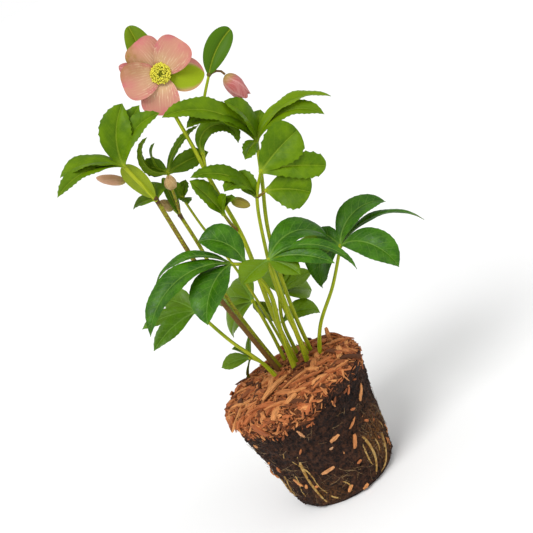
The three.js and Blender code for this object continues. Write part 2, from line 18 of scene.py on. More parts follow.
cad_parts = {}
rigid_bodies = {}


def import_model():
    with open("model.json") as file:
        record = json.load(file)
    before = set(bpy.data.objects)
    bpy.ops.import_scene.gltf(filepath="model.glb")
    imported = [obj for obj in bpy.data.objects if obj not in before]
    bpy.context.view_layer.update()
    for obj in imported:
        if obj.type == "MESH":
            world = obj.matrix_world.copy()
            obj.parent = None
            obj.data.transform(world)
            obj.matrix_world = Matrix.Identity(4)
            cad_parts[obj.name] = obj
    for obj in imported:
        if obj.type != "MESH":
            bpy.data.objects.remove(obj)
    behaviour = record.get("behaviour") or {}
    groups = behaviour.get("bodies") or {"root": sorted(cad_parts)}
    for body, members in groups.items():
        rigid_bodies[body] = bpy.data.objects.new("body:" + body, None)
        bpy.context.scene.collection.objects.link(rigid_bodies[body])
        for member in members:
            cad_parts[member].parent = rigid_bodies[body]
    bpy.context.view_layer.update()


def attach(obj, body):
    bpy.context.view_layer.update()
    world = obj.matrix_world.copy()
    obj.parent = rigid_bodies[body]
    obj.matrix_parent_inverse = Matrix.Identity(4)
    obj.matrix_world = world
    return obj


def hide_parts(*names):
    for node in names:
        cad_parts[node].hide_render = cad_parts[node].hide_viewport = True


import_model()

MM = 0.001
BODY = "root"
GOLDEN_TURN = pi * (3 - sqrt(5))
log = logging.getLogger("hellebore")

Triple = tuple[float, float, float]
Socket = bpy.types.NodeSocket
Outputs = bpy.types.bpy_prop_collection
Thing = bpy.types.Object
Value = Union[float, Triple, Socket]
Shape = tuple[list[Vector], list[tuple[int, ...]]]
Cover = Callable[[Vector, Vector], float]


# ---- Small sums ----

def lerp(low: float, high: float, share: float) -> float:
    """The value a share of the way from one number to another."""
    return low + (high - low) * share


def ease(low: float, high: float, value: float) -> float:
    """A smooth step of a value, which leaves 0 at low and reaches 1 at high."""
    share = min(1.0, max(0.0, (value - low) / (high - low)))
    return share * share * (3 - 2 * share)


def polar(turn: float, radius: float, height: float) -> Vector:
    """A point at a turn in radians, a radius and a height."""
    return Vector((radius * cos(turn), radius * sin(turn), height))


def direction(heading: float, rise: float) -> Vector:
    """The way to a heading from +X towards +Y and a rise above the level, both in degrees."""
    turn, up = radians(heading), radians(rise)
    return Vector((cos(up) * cos(turn), cos(up) * sin(turn), sin(up)))


# ---- Objects and their points' values ----

def add_object(name: str, data: bpy.types.ID | None) -> Thing:
    """Put a mesh, a lamp or a camera into the scene.

    Args:
        name: the object's name.
        data: what it shows.

    Returns:
        The object, at the origin.
    """
    thing = bpy.data.objects.new(name, data)
    bpy.context.scene.collection.objects.link(thing)
    return thing


def store(mesh: bpy.types.Mesh, key: str, values: Iterable[Iterable[float]]) -> None:
    """Give each point of a mesh three numbers of its own, by the name that shaders use for them."""
    data = mesh.attributes.new(key, "FLOAT_VECTOR", "POINT").data
    data.foreach_set("vector", [number for value in values for number in value])


def tube_faces(rings: int, sides: int) -> list[tuple[int, ...]]:
    """The faces of a closed tube.

    Args:
        rings: how many rings of points it has, one after the other.
        sides: how many points a ring has.

    Returns:
        The sides' faces, and one face over each end.
    """
    last = (rings - 1) * sides
    faces = []
    for start in range(0, last, sides):
        for k in range(sides):
            a, b = start + k, start + (k + 1) % sides
            faces.append((a, b, b + sides, a + sides))
    return faces + [tuple(reversed(range(sides))), tuple(range(last, last + sides))]


def outwards(piece: Thing) -> Thing:
    """Turn a piece's faces to point out of each of its closed lumps.

    Args:
        piece: the object.

    Returns:
        The same object.
    """
    work = bmesh.new()
    work.from_mesh(piece.data)
    bmesh.ops.recalc_face_normals(work, faces=work.faces)
    work.to_mesh(piece.data)
    work.free()
    return piece


# ---- Nodes and shaders ----

class Nodes:
    """A node tree under construction."""

    def __init__(self, tree: bpy.types.NodeTree) -> None:
        """Start with an empty tree."""
        self.tree = tree
        self.tree.nodes.clear()

    def add(self, kind: str, settings: dict[str, object] | None = None, **inputs: object) -> Outputs:
        """Add a node.

        Args:
            kind: the node's type.
            settings: its options.
            inputs: its sockets by name, with _ for a space, or by number as in_0.

        Returns:
            The node's outputs.
        """
        node = self.tree.nodes.new(kind)
        for key, value in (settings or {}).items():
            setattr(node, key, value)
        for key, value in inputs.items():
            socket = node.inputs[int(key[3:])] if key.startswith("in_") else self.in_use(node.inputs, key)
            if isinstance(value, Socket):
                self.tree.links.new(value, socket)
            elif isinstance(value, tuple) and socket.type == "RGBA":
                socket.default_value = (*value, 1.0)
            else:
                socket.default_value = value
        return node.outputs

    @staticmethod
    def in_use(sockets: Outputs, key: str) -> Socket:
        """The socket in use with a name, where _ stands for a space."""
        return next(s for s in sockets if s.name == key.replace("_", " ") and s.enabled)

    def math(self, operation: str, first: Value, second: Value = 0.0) -> Socket:
        """The result of one sum on two values."""
        return self.add("ShaderNodeMath", {"operation": operation}, in_0=first, in_1=second)[0]

    def times(self, first: Value, second: Value) -> Socket:
        """Two values multiplied."""
        return self.math("MULTIPLY", first, second)

    def plus(self, first: Value, second: Value) -> Socket:
        """Two values added."""
        return self.math("ADD", first, second)

    def minus(self, first: Value, second: Value) -> Socket:
        """The second value taken from the first."""
        return self.math("SUBTRACT", first, second)


class Shader(Nodes):
    """A material under construction, with one principled surface."""

    def __init__(self, name: str, gloss: float) -> None:
        """Start a material with a name and a specular level."""
        self.material = bpy.data.materials.new(name)
        self.material.use_nodes = True
        super().__init__(self.material.node_tree)
        self.gloss = gloss

    def larger(self, first: Value, second: Value) -> Socket:
        """The larger of two values."""
        return self.math("MAXIMUM", first, second)

    def fade(self, value: Value, start: float, end: float, low: float = 0.0, high: float = 1.0) -> Socket:
        """A smooth step of a value, from low at the start to high at the end."""
        return self.add("ShaderNodeMapRange", {"interpolation_type": "SMOOTHSTEP"},
                        in_0=value, in_1=start, in_2=end, in_3=low, in_4=high)[0]

    def mix(self, share: Value, below: Value, above: Value) -> Socket:
        """One colour laid over another, as far as a share says."""
        return self.add("ShaderNodeMix", {"data_type": "RGBA"}, in_0=share, in_6=below, in_7=above)[2]

    def noise(self, scale: float, detail: float = 2.0, vector: Value | None = None,
              distortion: float = 0.0) -> Socket:
        """Clouds of a scale, from about 0.3 to 0.7, over the object's own metres or over a vector."""
        vector = vector or self.add("ShaderNodeTexCoord")["Object"]
        return self.add("ShaderNodeTexNoise", Vector=vector, Scale=scale, Detail=detail,
                        Distortion=distortion)[0]

    def cells(self, scale: float, vector: Value) -> Socket:
        """The distance to the nearest edge between flat cells of a scale."""
        return self.add("ShaderNodeTexVoronoi", {"feature": "DISTANCE_TO_EDGE", "voronoi_dimensions": "2D"},
                        Vector=vector, Scale=scale)["Distance"]

    def carried(self, key: str) -> Socket:
        """Three numbers that the mesh's points carry, as one vector."""
        return self.add("ShaderNodeAttribute", {"attribute_name": key})["Vector"]

    def parts(self, key: str) -> list[Socket]:
        """Three numbers that the mesh's points carry, one by one."""
        return list(self.add("ShaderNodeSeparateXYZ", in_0=self.carried(key)))

    def stretch(self, vector: Value, scale: Triple) -> Socket:
        """A vector scaled along each axis."""
        return self.add("ShaderNodeMapping", Vector=vector, Scale=scale)[0]

    def finish(self, colour: Value, roughness: Value, height: Value, strength: float,
               depth: float) -> bpy.types.Material:
        """Connect the surface.

        Args:
            colour: the base colour.
            roughness: how dull the surface is.
            height: the relief.
            strength: the relief's strength.
            depth: the relief's depth in metres.

        Returns:
            The finished material.
        """
        relief = self.add("ShaderNodeBump", Strength=strength, Distance=depth, Height=height)[0]
        surface = self.add("ShaderNodeBsdfPrincipled", Base_Color=colour, Roughness=roughness, Normal=relief,
                           Specular_IOR_Level=self.gloss)["BSDF"]
        self.add("ShaderNodeOutputMaterial", Surface=surface)
        return self.material


@dataclass(frozen=True)
class LeafFinish:
    """A leaf's blade: green with a pale rib, side veins and a fine net, duller underneath."""

    name: str
    shade: Triple
    light: Triple
    # sunlit is painted light: the colour of light shining through the blade.
    sunlit: Triple
    vein: Triple
    underside: Triple
    roughness: float
    pitch: float = 7.0
    slant: float = 0.95
    rib_strength: float = 0.6
    side_strength: float = 0.2
    net_strength: float = 0.14
    net_scale: float = 0.36
    relief: float = 0.32
    gloss: float = 0.2

    def material(self) -> bpy.types.Material:
        """Build the blade's material."""
        shader = Shader(self.name, self.gloss)
        _, under, tone = shader.parts("vein")
        margin, share, _ = shader.parts("place")
        rib, side, net = self._veins(shader, margin, share)
        colour = shader.mix(shader.fade(shader.noise(90, 3), 0.36, 0.66), self.shade, self.light)
        # Painted light: where the tone is above 0, the sunlit colour is laid over the blade as light shining
        # through it.
        colour = shader.mix(shader.fade(tone, 0, 1), colour, self.sunlit)
        colour = shader.mix(shader.fade(tone, 0, -1, 0, 0.6), colour, self.shade)
        for lines, strength in (
                (net, self.net_strength), (side, self.side_strength), (rib, self.rib_strength)):
            colour = shader.mix(shader.times(lines, strength), colour, self.vein)
        backed = shader.mix(shader.times(shader.larger(rib, side), 0.5), self.underside, self.vein)
        colour = shader.mix(under, colour, backed)
        colour = shader.mix(shader.fade(share, 0.16, 0.0, 0, 0.7), colour, self.vein)

        dull = self.roughness
        roughness = shader.fade(shader.noise(260, 2), 0.3, 0.7, dull - 0.06, dull + 0.08)
        hollow = shader.larger(shader.times(net, 0.35), shader.larger(side, rib))
        height = shader.minus(shader.times(shader.noise(700, 2), 0.25), hollow)
        return shader.finish(colour, roughness, height, strength=self.relief, depth=0.0005)

    def _veins(self, shader: Shader, margin: Socket, share: Socket) -> tuple[Socket, ...]:
        """Draw the veins.

        Args:
            shader: the material.
            margin: how far a point is from the rib, as a share of the half-width.
            share: how far it is along the blade, as a share of the length.

        Returns:
            How much of the rib, of the side veins and of the net shows.
        """
        across, along, _ = shader.parts("flat")
        far = shader.math("ABSOLUTE", across)
        wobble = shader.times(shader.noise(160, 1), 1.8)
        lean = shader.minus(along, shader.times(far, self.slant))
        phase = shader.math("DIVIDE", shader.plus(lean, wobble), self.pitch)
        off_side = shader.math("PINGPONG", phase, 0.5)
        side = shader.times(shader.fade(off_side, 0.065, 0.01), shader.fade(margin, 0.95, 0.3))
        rib_width = shader.fade(share, 0, 1, 0.8, 0.2)
        rib = shader.fade(shader.math("DIVIDE", far, rib_width), 1.2, 0.55)
        net = shader.fade(shader.cells(self.net_scale, shader.carried("flat")), 0.09, 0.0)
        return rib, side, net


@dataclass(frozen=True)
class BractFinish:
    """A bract or sheath: yellow-green with ribs that run its length, plainer and greener at a low tone."""

    name: str
    shade: Triple
    light: Triple
    vein: Triple
    ribs: float = 11.0

    def material(self) -> bpy.types.Material:
        """Build the bract's material."""
        shader = Shader(self.name, gloss=0.15)
        across, _, _ = shader.parts("flat")
        fan, under, tone = shader.parts("vein")
        _, share, _ = shader.parts("place")
        colour = shader.mix(shader.fade(shader.noise(110, 3), 0.3, 0.7, 0.55, 1.0), self.shade, self.light)
        colour = shader.mix(shader.fade(tone, 0, -1, 0, 1.0), colour, self.shade)
        off_rib = shader.math("PINGPONG", shader.times(fan, self.ribs / 2), 0.5)
        ribs = shader.times(shader.fade(off_rib, 0.2, 0.03), shader.fade(share, 0.9, 0.3))
        ribs = shader.times(ribs, shader.fade(tone, 0, -0.25, 0.65, 0.08))
        middle = shader.fade(shader.math("ABSOLUTE", across), 0.8, 0.25)
        middle = shader.times(middle, shader.fade(tone, 0, -0.25, 0.3, 0.8))
        lines = shader.larger(ribs, middle)
        colour = shader.mix(shader.times(lines, 0.65), colour, self.vein)
        colour = shader.mix(shader.times(under, 0.3), colour, self.vein)
        height = shader.plus(lines, shader.times(shader.noise(600, 2), 0.3))
        return shader.finish(colour, 0.5, height, strength=0.35, depth=0.0005)


@dataclass(frozen=True)
class StemFinish:
    """A stalk: yellow-green and streaked, with brown-purple mottling and darker joints."""

    name: str = "stem"
    green: Triple = (0.24, 0.33, 0.003)
    pale: Triple = (0.43, 0.48, 0.018)
    brown: Triple = (0.17, 0.082, 0.02)
    joint: Triple = (0.085, 0.036, 0.014)

    def material(self) -> bpy.types.Material:
        """Build the stalk's material."""
        shader = Shader(self.name, gloss=0.18)
        flat = shader.carried("flat")
        brown, joint, _ = shader.parts("vein")
        streaks = shader.noise(1.0, 2, shader.stretch(flat, (0.9, 0.06, 1.0)))
        colour = shader.mix(shader.fade(streaks, 0.36, 0.62), self.green, self.pale)
        spots = shader.noise(0.95, 4, shader.stretch(flat, (1.5, 0.7, 1.0)), 0.6)
        mottled = shader.plus(shader.times(brown, 1.1), shader.times(spots, 1.5))
        colour = shader.mix(shader.fade(mottled, 0.93, 1.4), colour, self.brown)
        colour = shader.mix(shader.fade(joint, 0.1, 0.9, 0, 0.95), colour, self.joint)
        fine = shader.noise(3.0, 2, shader.stretch(flat, (1.0, 0.12, 1.0)))
        return shader.finish(colour, 0.45, fine, strength=0.3, depth=0.0004)


@dataclass(frozen=True)
class SepalFinish:
    """A sepal of the open bloom: peach at its foot, rosy at its edge, lined with fine veins."""

    name: str = "petal"
    heart: Triple = (0.65, 0.44, 0.23)
    blush: Triple = (0.58, 0.285, 0.185)
    edge: Triple = (0.59, 0.175, 0.175)
    vein: Triple = (0.76, 0.56, 0.36)
    green: Triple = (0.27, 0.36, 0.0005)
    stain: Triple = (0.30, 0.20, 0.02)
    rear: Triple = (0.52, 0.24, 0.18)
    lines: float = 7.0

    def material(self) -> bpy.types.Material:
        """Build the sepal's material."""
        shader = Shader(self.name, gloss=0.2)
        flat = shader.carried("flat")
        fan, under, green = shader.parts("vein")
        margin, share, stain = shader.parts("place")
        clouds = shader.noise(120, 3)
        outward = shader.plus(share, shader.times(clouds, 0.35))
        colour = shader.mix(shader.fade(outward, 0.3, 0.85), self.heart, self.blush)
        rim = shader.larger(shader.fade(margin, 0.35, 1.0), shader.fade(share, 0.58, 1.0))
        rim = shader.times(rim, shader.fade(clouds, 0.36, 0.62, 0.3, 1.0))
        colour = shader.mix(rim, colour, self.edge)
        fine = shader.noise(1.0, 3, shader.stretch(flat, (0.85, 0.07, 1.0)), 0.3)
        spread = shader.plus(shader.times(fan, self.lines), shader.times(fine, 2.3))
        off_line = shader.math("PINGPONG", spread, 0.5)
        lines = shader.times(shader.fade(off_line, 0.17, 0.02), shader.fade(share, 1.0, 0.35))
        lines = shader.times(lines, shader.fade(fine, 0.38, 0.6, 0.25, 1.0))
        colour = shader.mix(shader.times(lines, 0.95), colour, self.vein)
        fresh = shader.plus(green, shader.times(clouds, 0.3))
        fresh = shader.minus(fresh, shader.fade(margin, 0.55, 1.0, 0.0, 0.4))
        fresh = shader.minus(fresh, shader.fade(fan, 0.3, 0.95, 0.0, 0.7))
        colour = shader.mix(shader.fade(fresh, 0.3, 0.85), colour, self.green)
        soiled = shader.times(stain, shader.fade(clouds, 0.34, 0.58, 0.4, 1.0))
        colour = shader.mix(soiled, colour, self.stain)
        colour = shader.mix(shader.times(under, 0.8), colour, self.rear)
        height = shader.plus(lines, shader.times(shader.noise(900, 2), 0.2))
        return shader.finish(colour, 0.55, height, strength=0.3, depth=0.0003)


@dataclass(frozen=True)
class BudFinish:
    """A closed bud: one colour at its back, paler edges where its sepals overlap, green at its foot."""

    name: str
    face: Triple
    edge: Triple
    foot: Triple

    def material(self) -> bpy.types.Material:
        """Build the bud's material."""
        shader = Shader(self.name, gloss=0.25)
        flat = shader.carried("flat")
        overlap, share, _ = shader.parts("place")
        clouds = shader.noise(220, 3)
        lines = shader.noise(1.0, 2, shader.stretch(flat, (1.4, 0.12, 1.0)))
        colour = shader.mix(shader.fade(lines, 0.35, 0.65, 0, 0.45), self.face, self.edge)
        colour = shader.mix(shader.fade(overlap, 0.65, 0.97, 0, 0.85), colour, self.edge)
        low = shader.plus(share, shader.times(clouds, 0.2))
        colour = shader.mix(shader.fade(low, 0.42, 0.08, 0, 0.85), colour, self.foot)
        return shader.finish(colour, 0.5, lines, strength=0.25, depth=0.0004)


@dataclass(frozen=True)
class StamenFinish:
    """The bloom's middle: pale green stalks under yellow-green, dusty tips."""

    name: str
    stalk: Triple = (0.72, 0.70, 0.18)
    tip: Triple = (0.78, 0.72, 0.07)
    shade: Triple = (0.58, 0.58, 0.05)

    def material(self) -> bpy.types.Material:
        """Build the stamens' material."""
        shader = Shader(self.name, gloss=0.3)
        _, share, _ = shader.parts("place")
        tone, _, _ = shader.parts("tone")
        colour = shader.mix(shader.fade(share, 0.6, 0.85), self.stalk, self.tip)
        colour = shader.mix(shader.fade(tone, 0.4, 1.0, 0, 0.5), colour, self.shade)
        return shader.finish(colour, 0.65, shader.noise(4000, 2), strength=0.3, depth=0.0002)


@dataclass(frozen=True)
class PeatFinish:
    """Damp peat: almost black, with brown crumb, wet patches and golden root dust where its points say."""

    name: str = "peat"
    black: Triple = (0.006, 0.004, 0.0035)
    dark: Triple = (0.038, 0.015, 0.009)
    brown: Triple = (0.088, 0.034, 0.016)
    crumb: Triple = (0.21, 0.066, 0.021)
    golden: Triple = (0.22, 0.09, 0.018)

    def material(self) -> bpy.types.Material:
        """Build the peat's material."""
        shader = Shader(self.name, gloss=0.25)
        cover, wet, golden = shader.parts("place")
        coarse = shader.noise(300, 5)
        fine = shader.noise(700, 5, distortion=0.8)
        grain = shader.noise(1900, 3)
        colour = shader.mix(shader.fade(fine, 0.4, 0.66), self.black, self.dark)
        patches = shader.plus(shader.times(coarse, 0.7), shader.times(grain, 0.5))
        colour = shader.mix(shader.fade(patches, 0.54, 0.74, 0, 0.85), colour, self.brown)
        loose = shader.plus(cover, shader.minus(fine, 0.5))
        colour = shader.mix(shader.fade(loose, 0.35, 0.95, 0, 0.95), colour, self.crumb)
        colour = shader.mix(shader.times(golden, shader.fade(fine, 0.42, 0.6)), colour, self.golden)
        colour = shader.mix(shader.times(wet, shader.fade(fine, 0.7, 0.4)), colour, self.black)
        height = shader.plus(fine, shader.times(grain, 0.6))
        return shader.finish(colour, 0.85, height, strength=0.9, depth=0.0016)


@dataclass(frozen=True)
class BarkFinish:
    """Shredded bark: each splinter its own tone, with fibres along its length."""

    name: str
    dark: Triple = (0.085, 0.027, 0.009)
    red: Triple = (0.52, 0.148, 0.044)
    tan: Triple = (0.78, 0.33, 0.11)
    pale: Triple = (0.66, 0.37, 0.20)

    def material(self) -> bpy.types.Material:
        """Build the bark's material."""
        shader = Shader(self.name, gloss=0.3)
        grain = shader.carried("grain")
        tone, _, _ = shader.parts("tone")
        fibres = shader.noise(1.0, 4, shader.stretch(grain, (130.0, 1500.0, 1500.0)), 0.4)
        colour = shader.mix(shader.fade(tone, 0.0, 0.5), self.dark, self.red)
        colour = shader.mix(shader.fade(tone, 0.45, 1.0), colour, self.tan)
        colour = shader.mix(shader.fade(tone, 1.0, 1.2), colour, self.pale)
        colour = shader.mix(shader.fade(fibres, 0.6, 0.36, 0, 0.5), colour, self.dark)
        return shader.finish(colour, 0.8, fibres, strength=0.6, depth=0.0008)


@dataclass(frozen=True)
class RootFinish:
    """A root: golden tan, darker where peat clings to it."""

    name: str
    skin: Triple = (0.36, 0.19, 0.035)
    pale: Triple = (0.52, 0.33, 0.10)
    stain: Triple = (0.085, 0.035, 0.012)

    def material(self) -> bpy.types.Material:
        """Build the root's material."""
        shader = Shader(self.name, gloss=0.35)
        clouds = shader.noise(260, 3)
        fine = shader.noise(1100, 3)
        colour = shader.mix(shader.fade(clouds, 0.4, 0.62), self.skin, self.pale)
        colour = shader.mix(shader.fade(fine, 0.5, 0.72), colour, self.stain)
        return shader.finish(colour, 0.55, fine, strength=0.4, depth=0.0005)


@dataclass(frozen=True)
class FloorFinish:
    """A plain pale floor."""

    name: str = "floor"
    colour: Triple = (0.93, 0.93, 0.93)

    def material(self) -> bpy.types.Material:
        """Build the floor's material."""
        shader = Shader(self.name, gloss=0.1)
        return shader.finish(self.colour, 0.95, shader.noise(6, 2), strength=0.02, depth=0.001)


class Finish(Enum):
    """The finishes of this plant."""

    # A leaf finish's third colour is painted light: the colour of light shining through the blade.
    MATURE_LEAF = LeafFinish(
        "leaf_mature", (0.022, 0.096, 0.0002), (0.050, 0.168, 0.0005), (0.130, 0.230, 0.0005),
        (0.18, 0.33, 0.045), (0.105, 0.175, 0.005), roughness=0.36,
        rib_strength=0.65, side_strength=0.36, net_strength=0.16)
    YOUNG_LEAF = LeafFinish(
        "leaf_young", (0.070, 0.150, 0.0002), (0.118, 0.218, 0.0003), (0.205, 0.32, 0.001),
        (0.30, 0.40, 0.03), (0.12, 0.205, 0.003), roughness=0.46, pitch=6.2,
        rib_strength=0.5, side_strength=0.13, net_strength=0.08, relief=0.25, gloss=0.12)
    BRACT = BractFinish("bract", (0.060, 0.146, 0.0005), (0.22, 0.31, 0.002), (0.40, 0.46, 0.04))
    STEM = StemFinish()
    SEPAL = SepalFinish()
    PINK_BUD = BudFinish("closed_pink", (0.43, 0.095, 0.085), (0.68, 0.34, 0.32), (0.34, 0.27, 0.05))
    FADED_BUD = BudFinish("closed_faded", (0.54, 0.28, 0.15), (0.66, 0.41, 0.26), (0.38, 0.33, 0.06))
    BEIGE_BUD = BudFinish("closed_beige", (0.42, 0.26, 0.10), (0.58, 0.42, 0.20), (0.30, 0.28, 0.05))
    GREEN_BUD = BudFinish("closed_green", (0.31, 0.28, 0.015), (0.40, 0.26, 0.08), (0.19, 0.28, 0.004))
    STAMEN = StamenFinish("anther")
    NECTARY = StamenFinish("nectary", (0.50, 0.54, 0.04), (0.62, 0.60, 0.06), (0.28, 0.33, 0.01))
    PEAT = PeatFinish()
    BARK = BarkFinish("splinter")
    BARK_BED = PeatFinish("bark_bed", (0.016, 0.007, 0.004), (0.085, 0.027, 0.011), (0.20, 0.06, 0.02))
    ROOT = RootFinish("root_skin")
    ROOTLET = RootFinish("rootlet", (0.19, 0.10, 0.035), (0.36, 0.24, 0.11), (0.06, 0.028, 0.012))
    FLOOR = FloorFinish()

    @cache
    def made(self) -> bpy.types.Material:
        """This finish's material, built the first time that it is asked for."""
        return self.value.material()


# ---- Meshes ----

@dataclass
class Spot:
    """A point in millimetres with the values that its surface carries."""

    at: Vector
    flat: Triple = (0.0, 0.0, 0.0)
    vein: Triple = (0.0, 0.0, 0.0)
    place: Triple = (0.0, 0.0, 0.0)


def ring(count: int, radius: float, height: float, **values: Triple) -> list[Spot]:
    """A number of spots round a level circle, with what each of them carries."""
    return [Spot(polar(2 * pi * k / count, radius, height), **values) for k in range(count)]


class Shell:
    """Closed surfaces gathered into one piece."""

    def __init__(self) -> None:
        """Start with nothing."""
        self.spots: list[Spot] = []
        self.faces: list[tuple[int, ...]] = []
        self.slots: list[int] = []

    def _grid(self, rows: Sequence[Sequence[Spot]]) -> list[list[int]]:
        """Add rows of spots.

        Args:
            rows: the rows.

        Returns:
            The spots' numbers, row by row.
        """
        numbers = []
        for row in rows:
            start = len(self.spots)
            self.spots.extend(row)
            numbers.append(list(range(start, len(self.spots))))
        return numbers

    def _face(self, slot: int, *corners: int) -> None:
        """Add one face with a finish."""
        self.faces.append(corners)
        self.slots.append(slot)

    def sheet(self, top: Sequence[Sequence[Spot]], under: Sequence[Sequence[Spot]], slot: int) -> None:
        """Close a thin sheet between two grids.

        Args:
            top: rows from foot to tip, each from left to right.
            under: the same for the underside.
            slot: its finish's place in the piece.
        """
        t, u = self._grid(top), self._grid(under)
        for i in range(len(t) - 1):
            for j in range(len(t[0]) - 1):
                self._face(slot, t[i][j], t[i][j + 1], t[i + 1][j + 1], t[i + 1][j])
                self._face(slot, u[i][j], u[i + 1][j], u[i + 1][j + 1], u[i][j + 1])
            self._face(slot, u[i][0], t[i][0], t[i + 1][0], u[i + 1][0])
            self._face(slot, u[i][-1], u[i + 1][-1], t[i + 1][-1], t[i][-1])
        for j in range(len(t[0]) - 1):
            self._face(slot, t[0][j], u[0][j], u[0][j + 1], t[0][j + 1])
            self._face(slot, t[-1][j], t[-1][j + 1], u[-1][j + 1], u[-1][j])

    def tube(self, rings: Sequence[Sequence[Spot]], slot: int) -> None:
        """Close a tube round its rings, with a face over each end.

        Args:
            rings: its rings of spots, which all turn the same way.
            slot: its finish's place in the piece.
        """
        grid = self._grid(rings)
        count = len(grid[0])
        for low, high in zip(grid, grid[1:]):
            for k in range(count):
                self._face(slot, low[k], low[(k + 1) % count], high[(k + 1) % count], high[k])
        self._face(slot, *reversed(grid[0]))
        self._face(slot, *grid[-1])

    def piece(self, name: str, finishes: Iterable[Finish], matrix: Matrix | None = None,
              crease: float = 50.0) -> Thing:
        """Make the piece's object.

        Args:
            name: the object's name.
            finishes: its finishes, in the order of their slots.
            matrix: where its points go, still in millimetres.
            crease: the angle in degrees past which an edge stays sharp.

        Returns:
            The object, at the origin, with its place in its mesh.
        """
        mesh = bpy.data.meshes.new(name)
        points = [(matrix @ s.at if matrix else s.at) * MM for s in self.spots]
        mesh.from_pydata(points, [], self.faces)
        for key in ("flat", "vein", "place"):
            store(mesh, key, (getattr(s, key) for s in self.spots))
        mesh.polygons.foreach_set("material_index", self.slots)
        for finish in finishes:
            mesh.materials.append(finish.made())
        mesh.shade_smooth()
        mesh.set_sharp_from_angle(angle=radians(crease))
        mesh.update()
        return add_object(name, mesh)


def settle(piece: Thing, slot: str, node: str | None = None) -> Thing:
    """Fix a finished piece to the plant.

    Args:
        piece: the object.
        slot: not used.
        node: the solid that it stands for, if any.

    Returns:
        The same object.
    """
    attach(piece, BODY)
    if node:
        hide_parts(node)
    log.info("%s: %d faces", piece.name, len(piece.data.polygons))
    return piece


# ---- Stalks and blades ----

class Kind(Enum):
    """The kinds of blade."""

    MATURE = "mature"
    YOUNG = "young"
    BROAD = "broad"
    STRAP = "strap"
    SEPAL = "sepal"
    POINTED = "pointed sepal"


@dataclass(frozen=True)
class Outline:
    """How a kind of blade is shaped, toothed, veined and waved, in millimetres and degrees.

    foot and point say how slowly it widens from its foot and from its tip. crowd brings its rows closer
    together towards the tip, toothed_from is the share of its length where its teeth begin, and lobes
    and cup say how each half bulges and curls up. quilt is how far it swells between its side veins,
    which lie a pitch apart and slant.
    """

    foot: float
    point: float
    fold: float
    ring_step: float
    crowd: float
    tooth_step: float
    tooth_depth: float
    toothed_from: float
    quilt: float
    wave: float
    wave_length: float
    thickness: float
    lobes: float = 0.3
    groove: float = 0.35
    cup: float = 1.0
    pitch: float = 7.0
    slant: float = 0.95

    def share(self, along: float) -> float:
        """Half of the width at a share of the length, as a share of the widest half."""
        widest = self.foot / (self.foot + self.point)
        return (along ** self.foot * max(0.0, 1 - along) ** self.point
                / (widest ** self.foot * (1 - widest) ** self.point))

    def tooth(self, column: float, share: float, out: float) -> float:
        """How far a row's teeth move a point sideways, in the column's direction."""
        deep = self.tooth_depth * out * ease(0.8, 1.0, abs(column)) * ease(0, 0.1, 1 - share)
        return copysign(deep, column)

    def lift(self, column: float, half: float, run: float, share: float, seed: float) -> float:
        """How far the fold, the quilting and the waves lift a point.

        Args:
            column: where it is across the blade, from -1 to 1.
            half: half of the blade's width here.
            run: how far along the rib it is.
            share: the same as a share of the length.
            seed: sets the waves of one blade apart.

        Returns:
            Millimetres, out of the blade's face.
        """
        far = abs(column)
        folded = half * sin(radians(self.fold))
        folded *= far ** self.cup + self.lobes * sin(pi * far)
        phase = (run - self.slant * far * half) / self.pitch
        swell = abs(sin(pi * phase)) ** 0.8 - 0.6
        quilted = self.quilt * swell * sqrt(4 * far * (1 - far)) * ease(0, 0.2, share)
        turn = 2 * pi * (run / self.wave_length + seed) + (HIGH_SIDE_LAG if column > 0 else 0)
        waved = self.wave * far * far * sin(turn) * ease(0.05, 0.4, share)
        return folded + quilted + waved * min(1, half / FULL_WAVE_HALF)

    def sides(self, column: float, x: float, share: float) -> tuple[float, float]:
        """How far the blade's two sides lie off its middle.

        Args:
            column: where a point is across the blade, from -1 to 1.
            x: the same in millimetres.
            share: where it is along the blade.

        Returns:
            Millimetres to the grooved upper side, and to the underside with its raised rib.
        """
        far, petiole = abs(column), 1 - ease(0.0, 0.13, share)
        groove = self.groove * exp(-(x / 0.8) ** 2) * (1 - petiole)
        ridge = lerp(0.55, 0.15, share) * exp(-(x / 0.9) ** 2)
        thick = self.thickness / 2 * lerp(1.0, 0.55, far) + 0.6 * petiole * (1 - far * far)
        return thick - groove, thick + ridge


OUTLINES = {
    Kind.MATURE: Outline(1.3, 1.1, 14, 10.5, 1.15, 4.6, 0.6, 0.42, 0.32, 0.7, 34, 0.5),
    Kind.YOUNG: Outline(1.15, 0.95, 16, 9.5, 1, 4.2, 1.35, 0.40, 0.2, 0.8, 26, 0.42, pitch=6.2),
    Kind.BROAD: Outline(1.0, 0.45, 14, 10, 1, 5.0, 1.9, 0.26, 0.22, 0.7, 28, 0.42, pitch=6.6),
    Kind.STRAP: Outline(0.7, 0.5, 18, 10, 1, 4.0, 0.0, 1.0, 0.0, 0.4, 30, 0.45),
    Kind.SEPAL: Outline(0.75, 0.34, 9, 6, 1.6, 4.0, 0.0, 1.0, 0.0, 0.75, 19, 0.4,
                        lobes=0.0, groove=0.0, cup=1.8),
    Kind.POINTED: Outline(0.75, 0.62, 9, 6, 1.2, 4.0, 0.0, 1.0, 0.0, 0.6, 19, 0.4,
                          lobes=0.0, groove=0.0, cup=1.8),
}
# Where the blade's points lie across it, closest together at the rib and at the margins.
COLUMNS = (-1, -0.93, -0.84, -0.7, -0.52, -0.34, -0.18, -0.08, 0, 0.08, 0.18, 0.34, 0.52, 0.7, 0.84, 0.93, 1)
# Along one tooth: a share of its step, and how much of the teeth's depth the margin has there.
PLAIN_EDGE = 0.7
TOOTH = ((0.0, PLAIN_EDGE), (0.3, 0.3), (0.6, 0.05), (0.88, 0.3))
HIGH_SIDE_LAG = 1.7
FULL_WAVE_HALF = 8
THINNEST_FOOT, THINNEST_TIP = 1.1, 0.4
PLAIN_STEP, TOOTHLESS_STEP = 3.2, 1.5


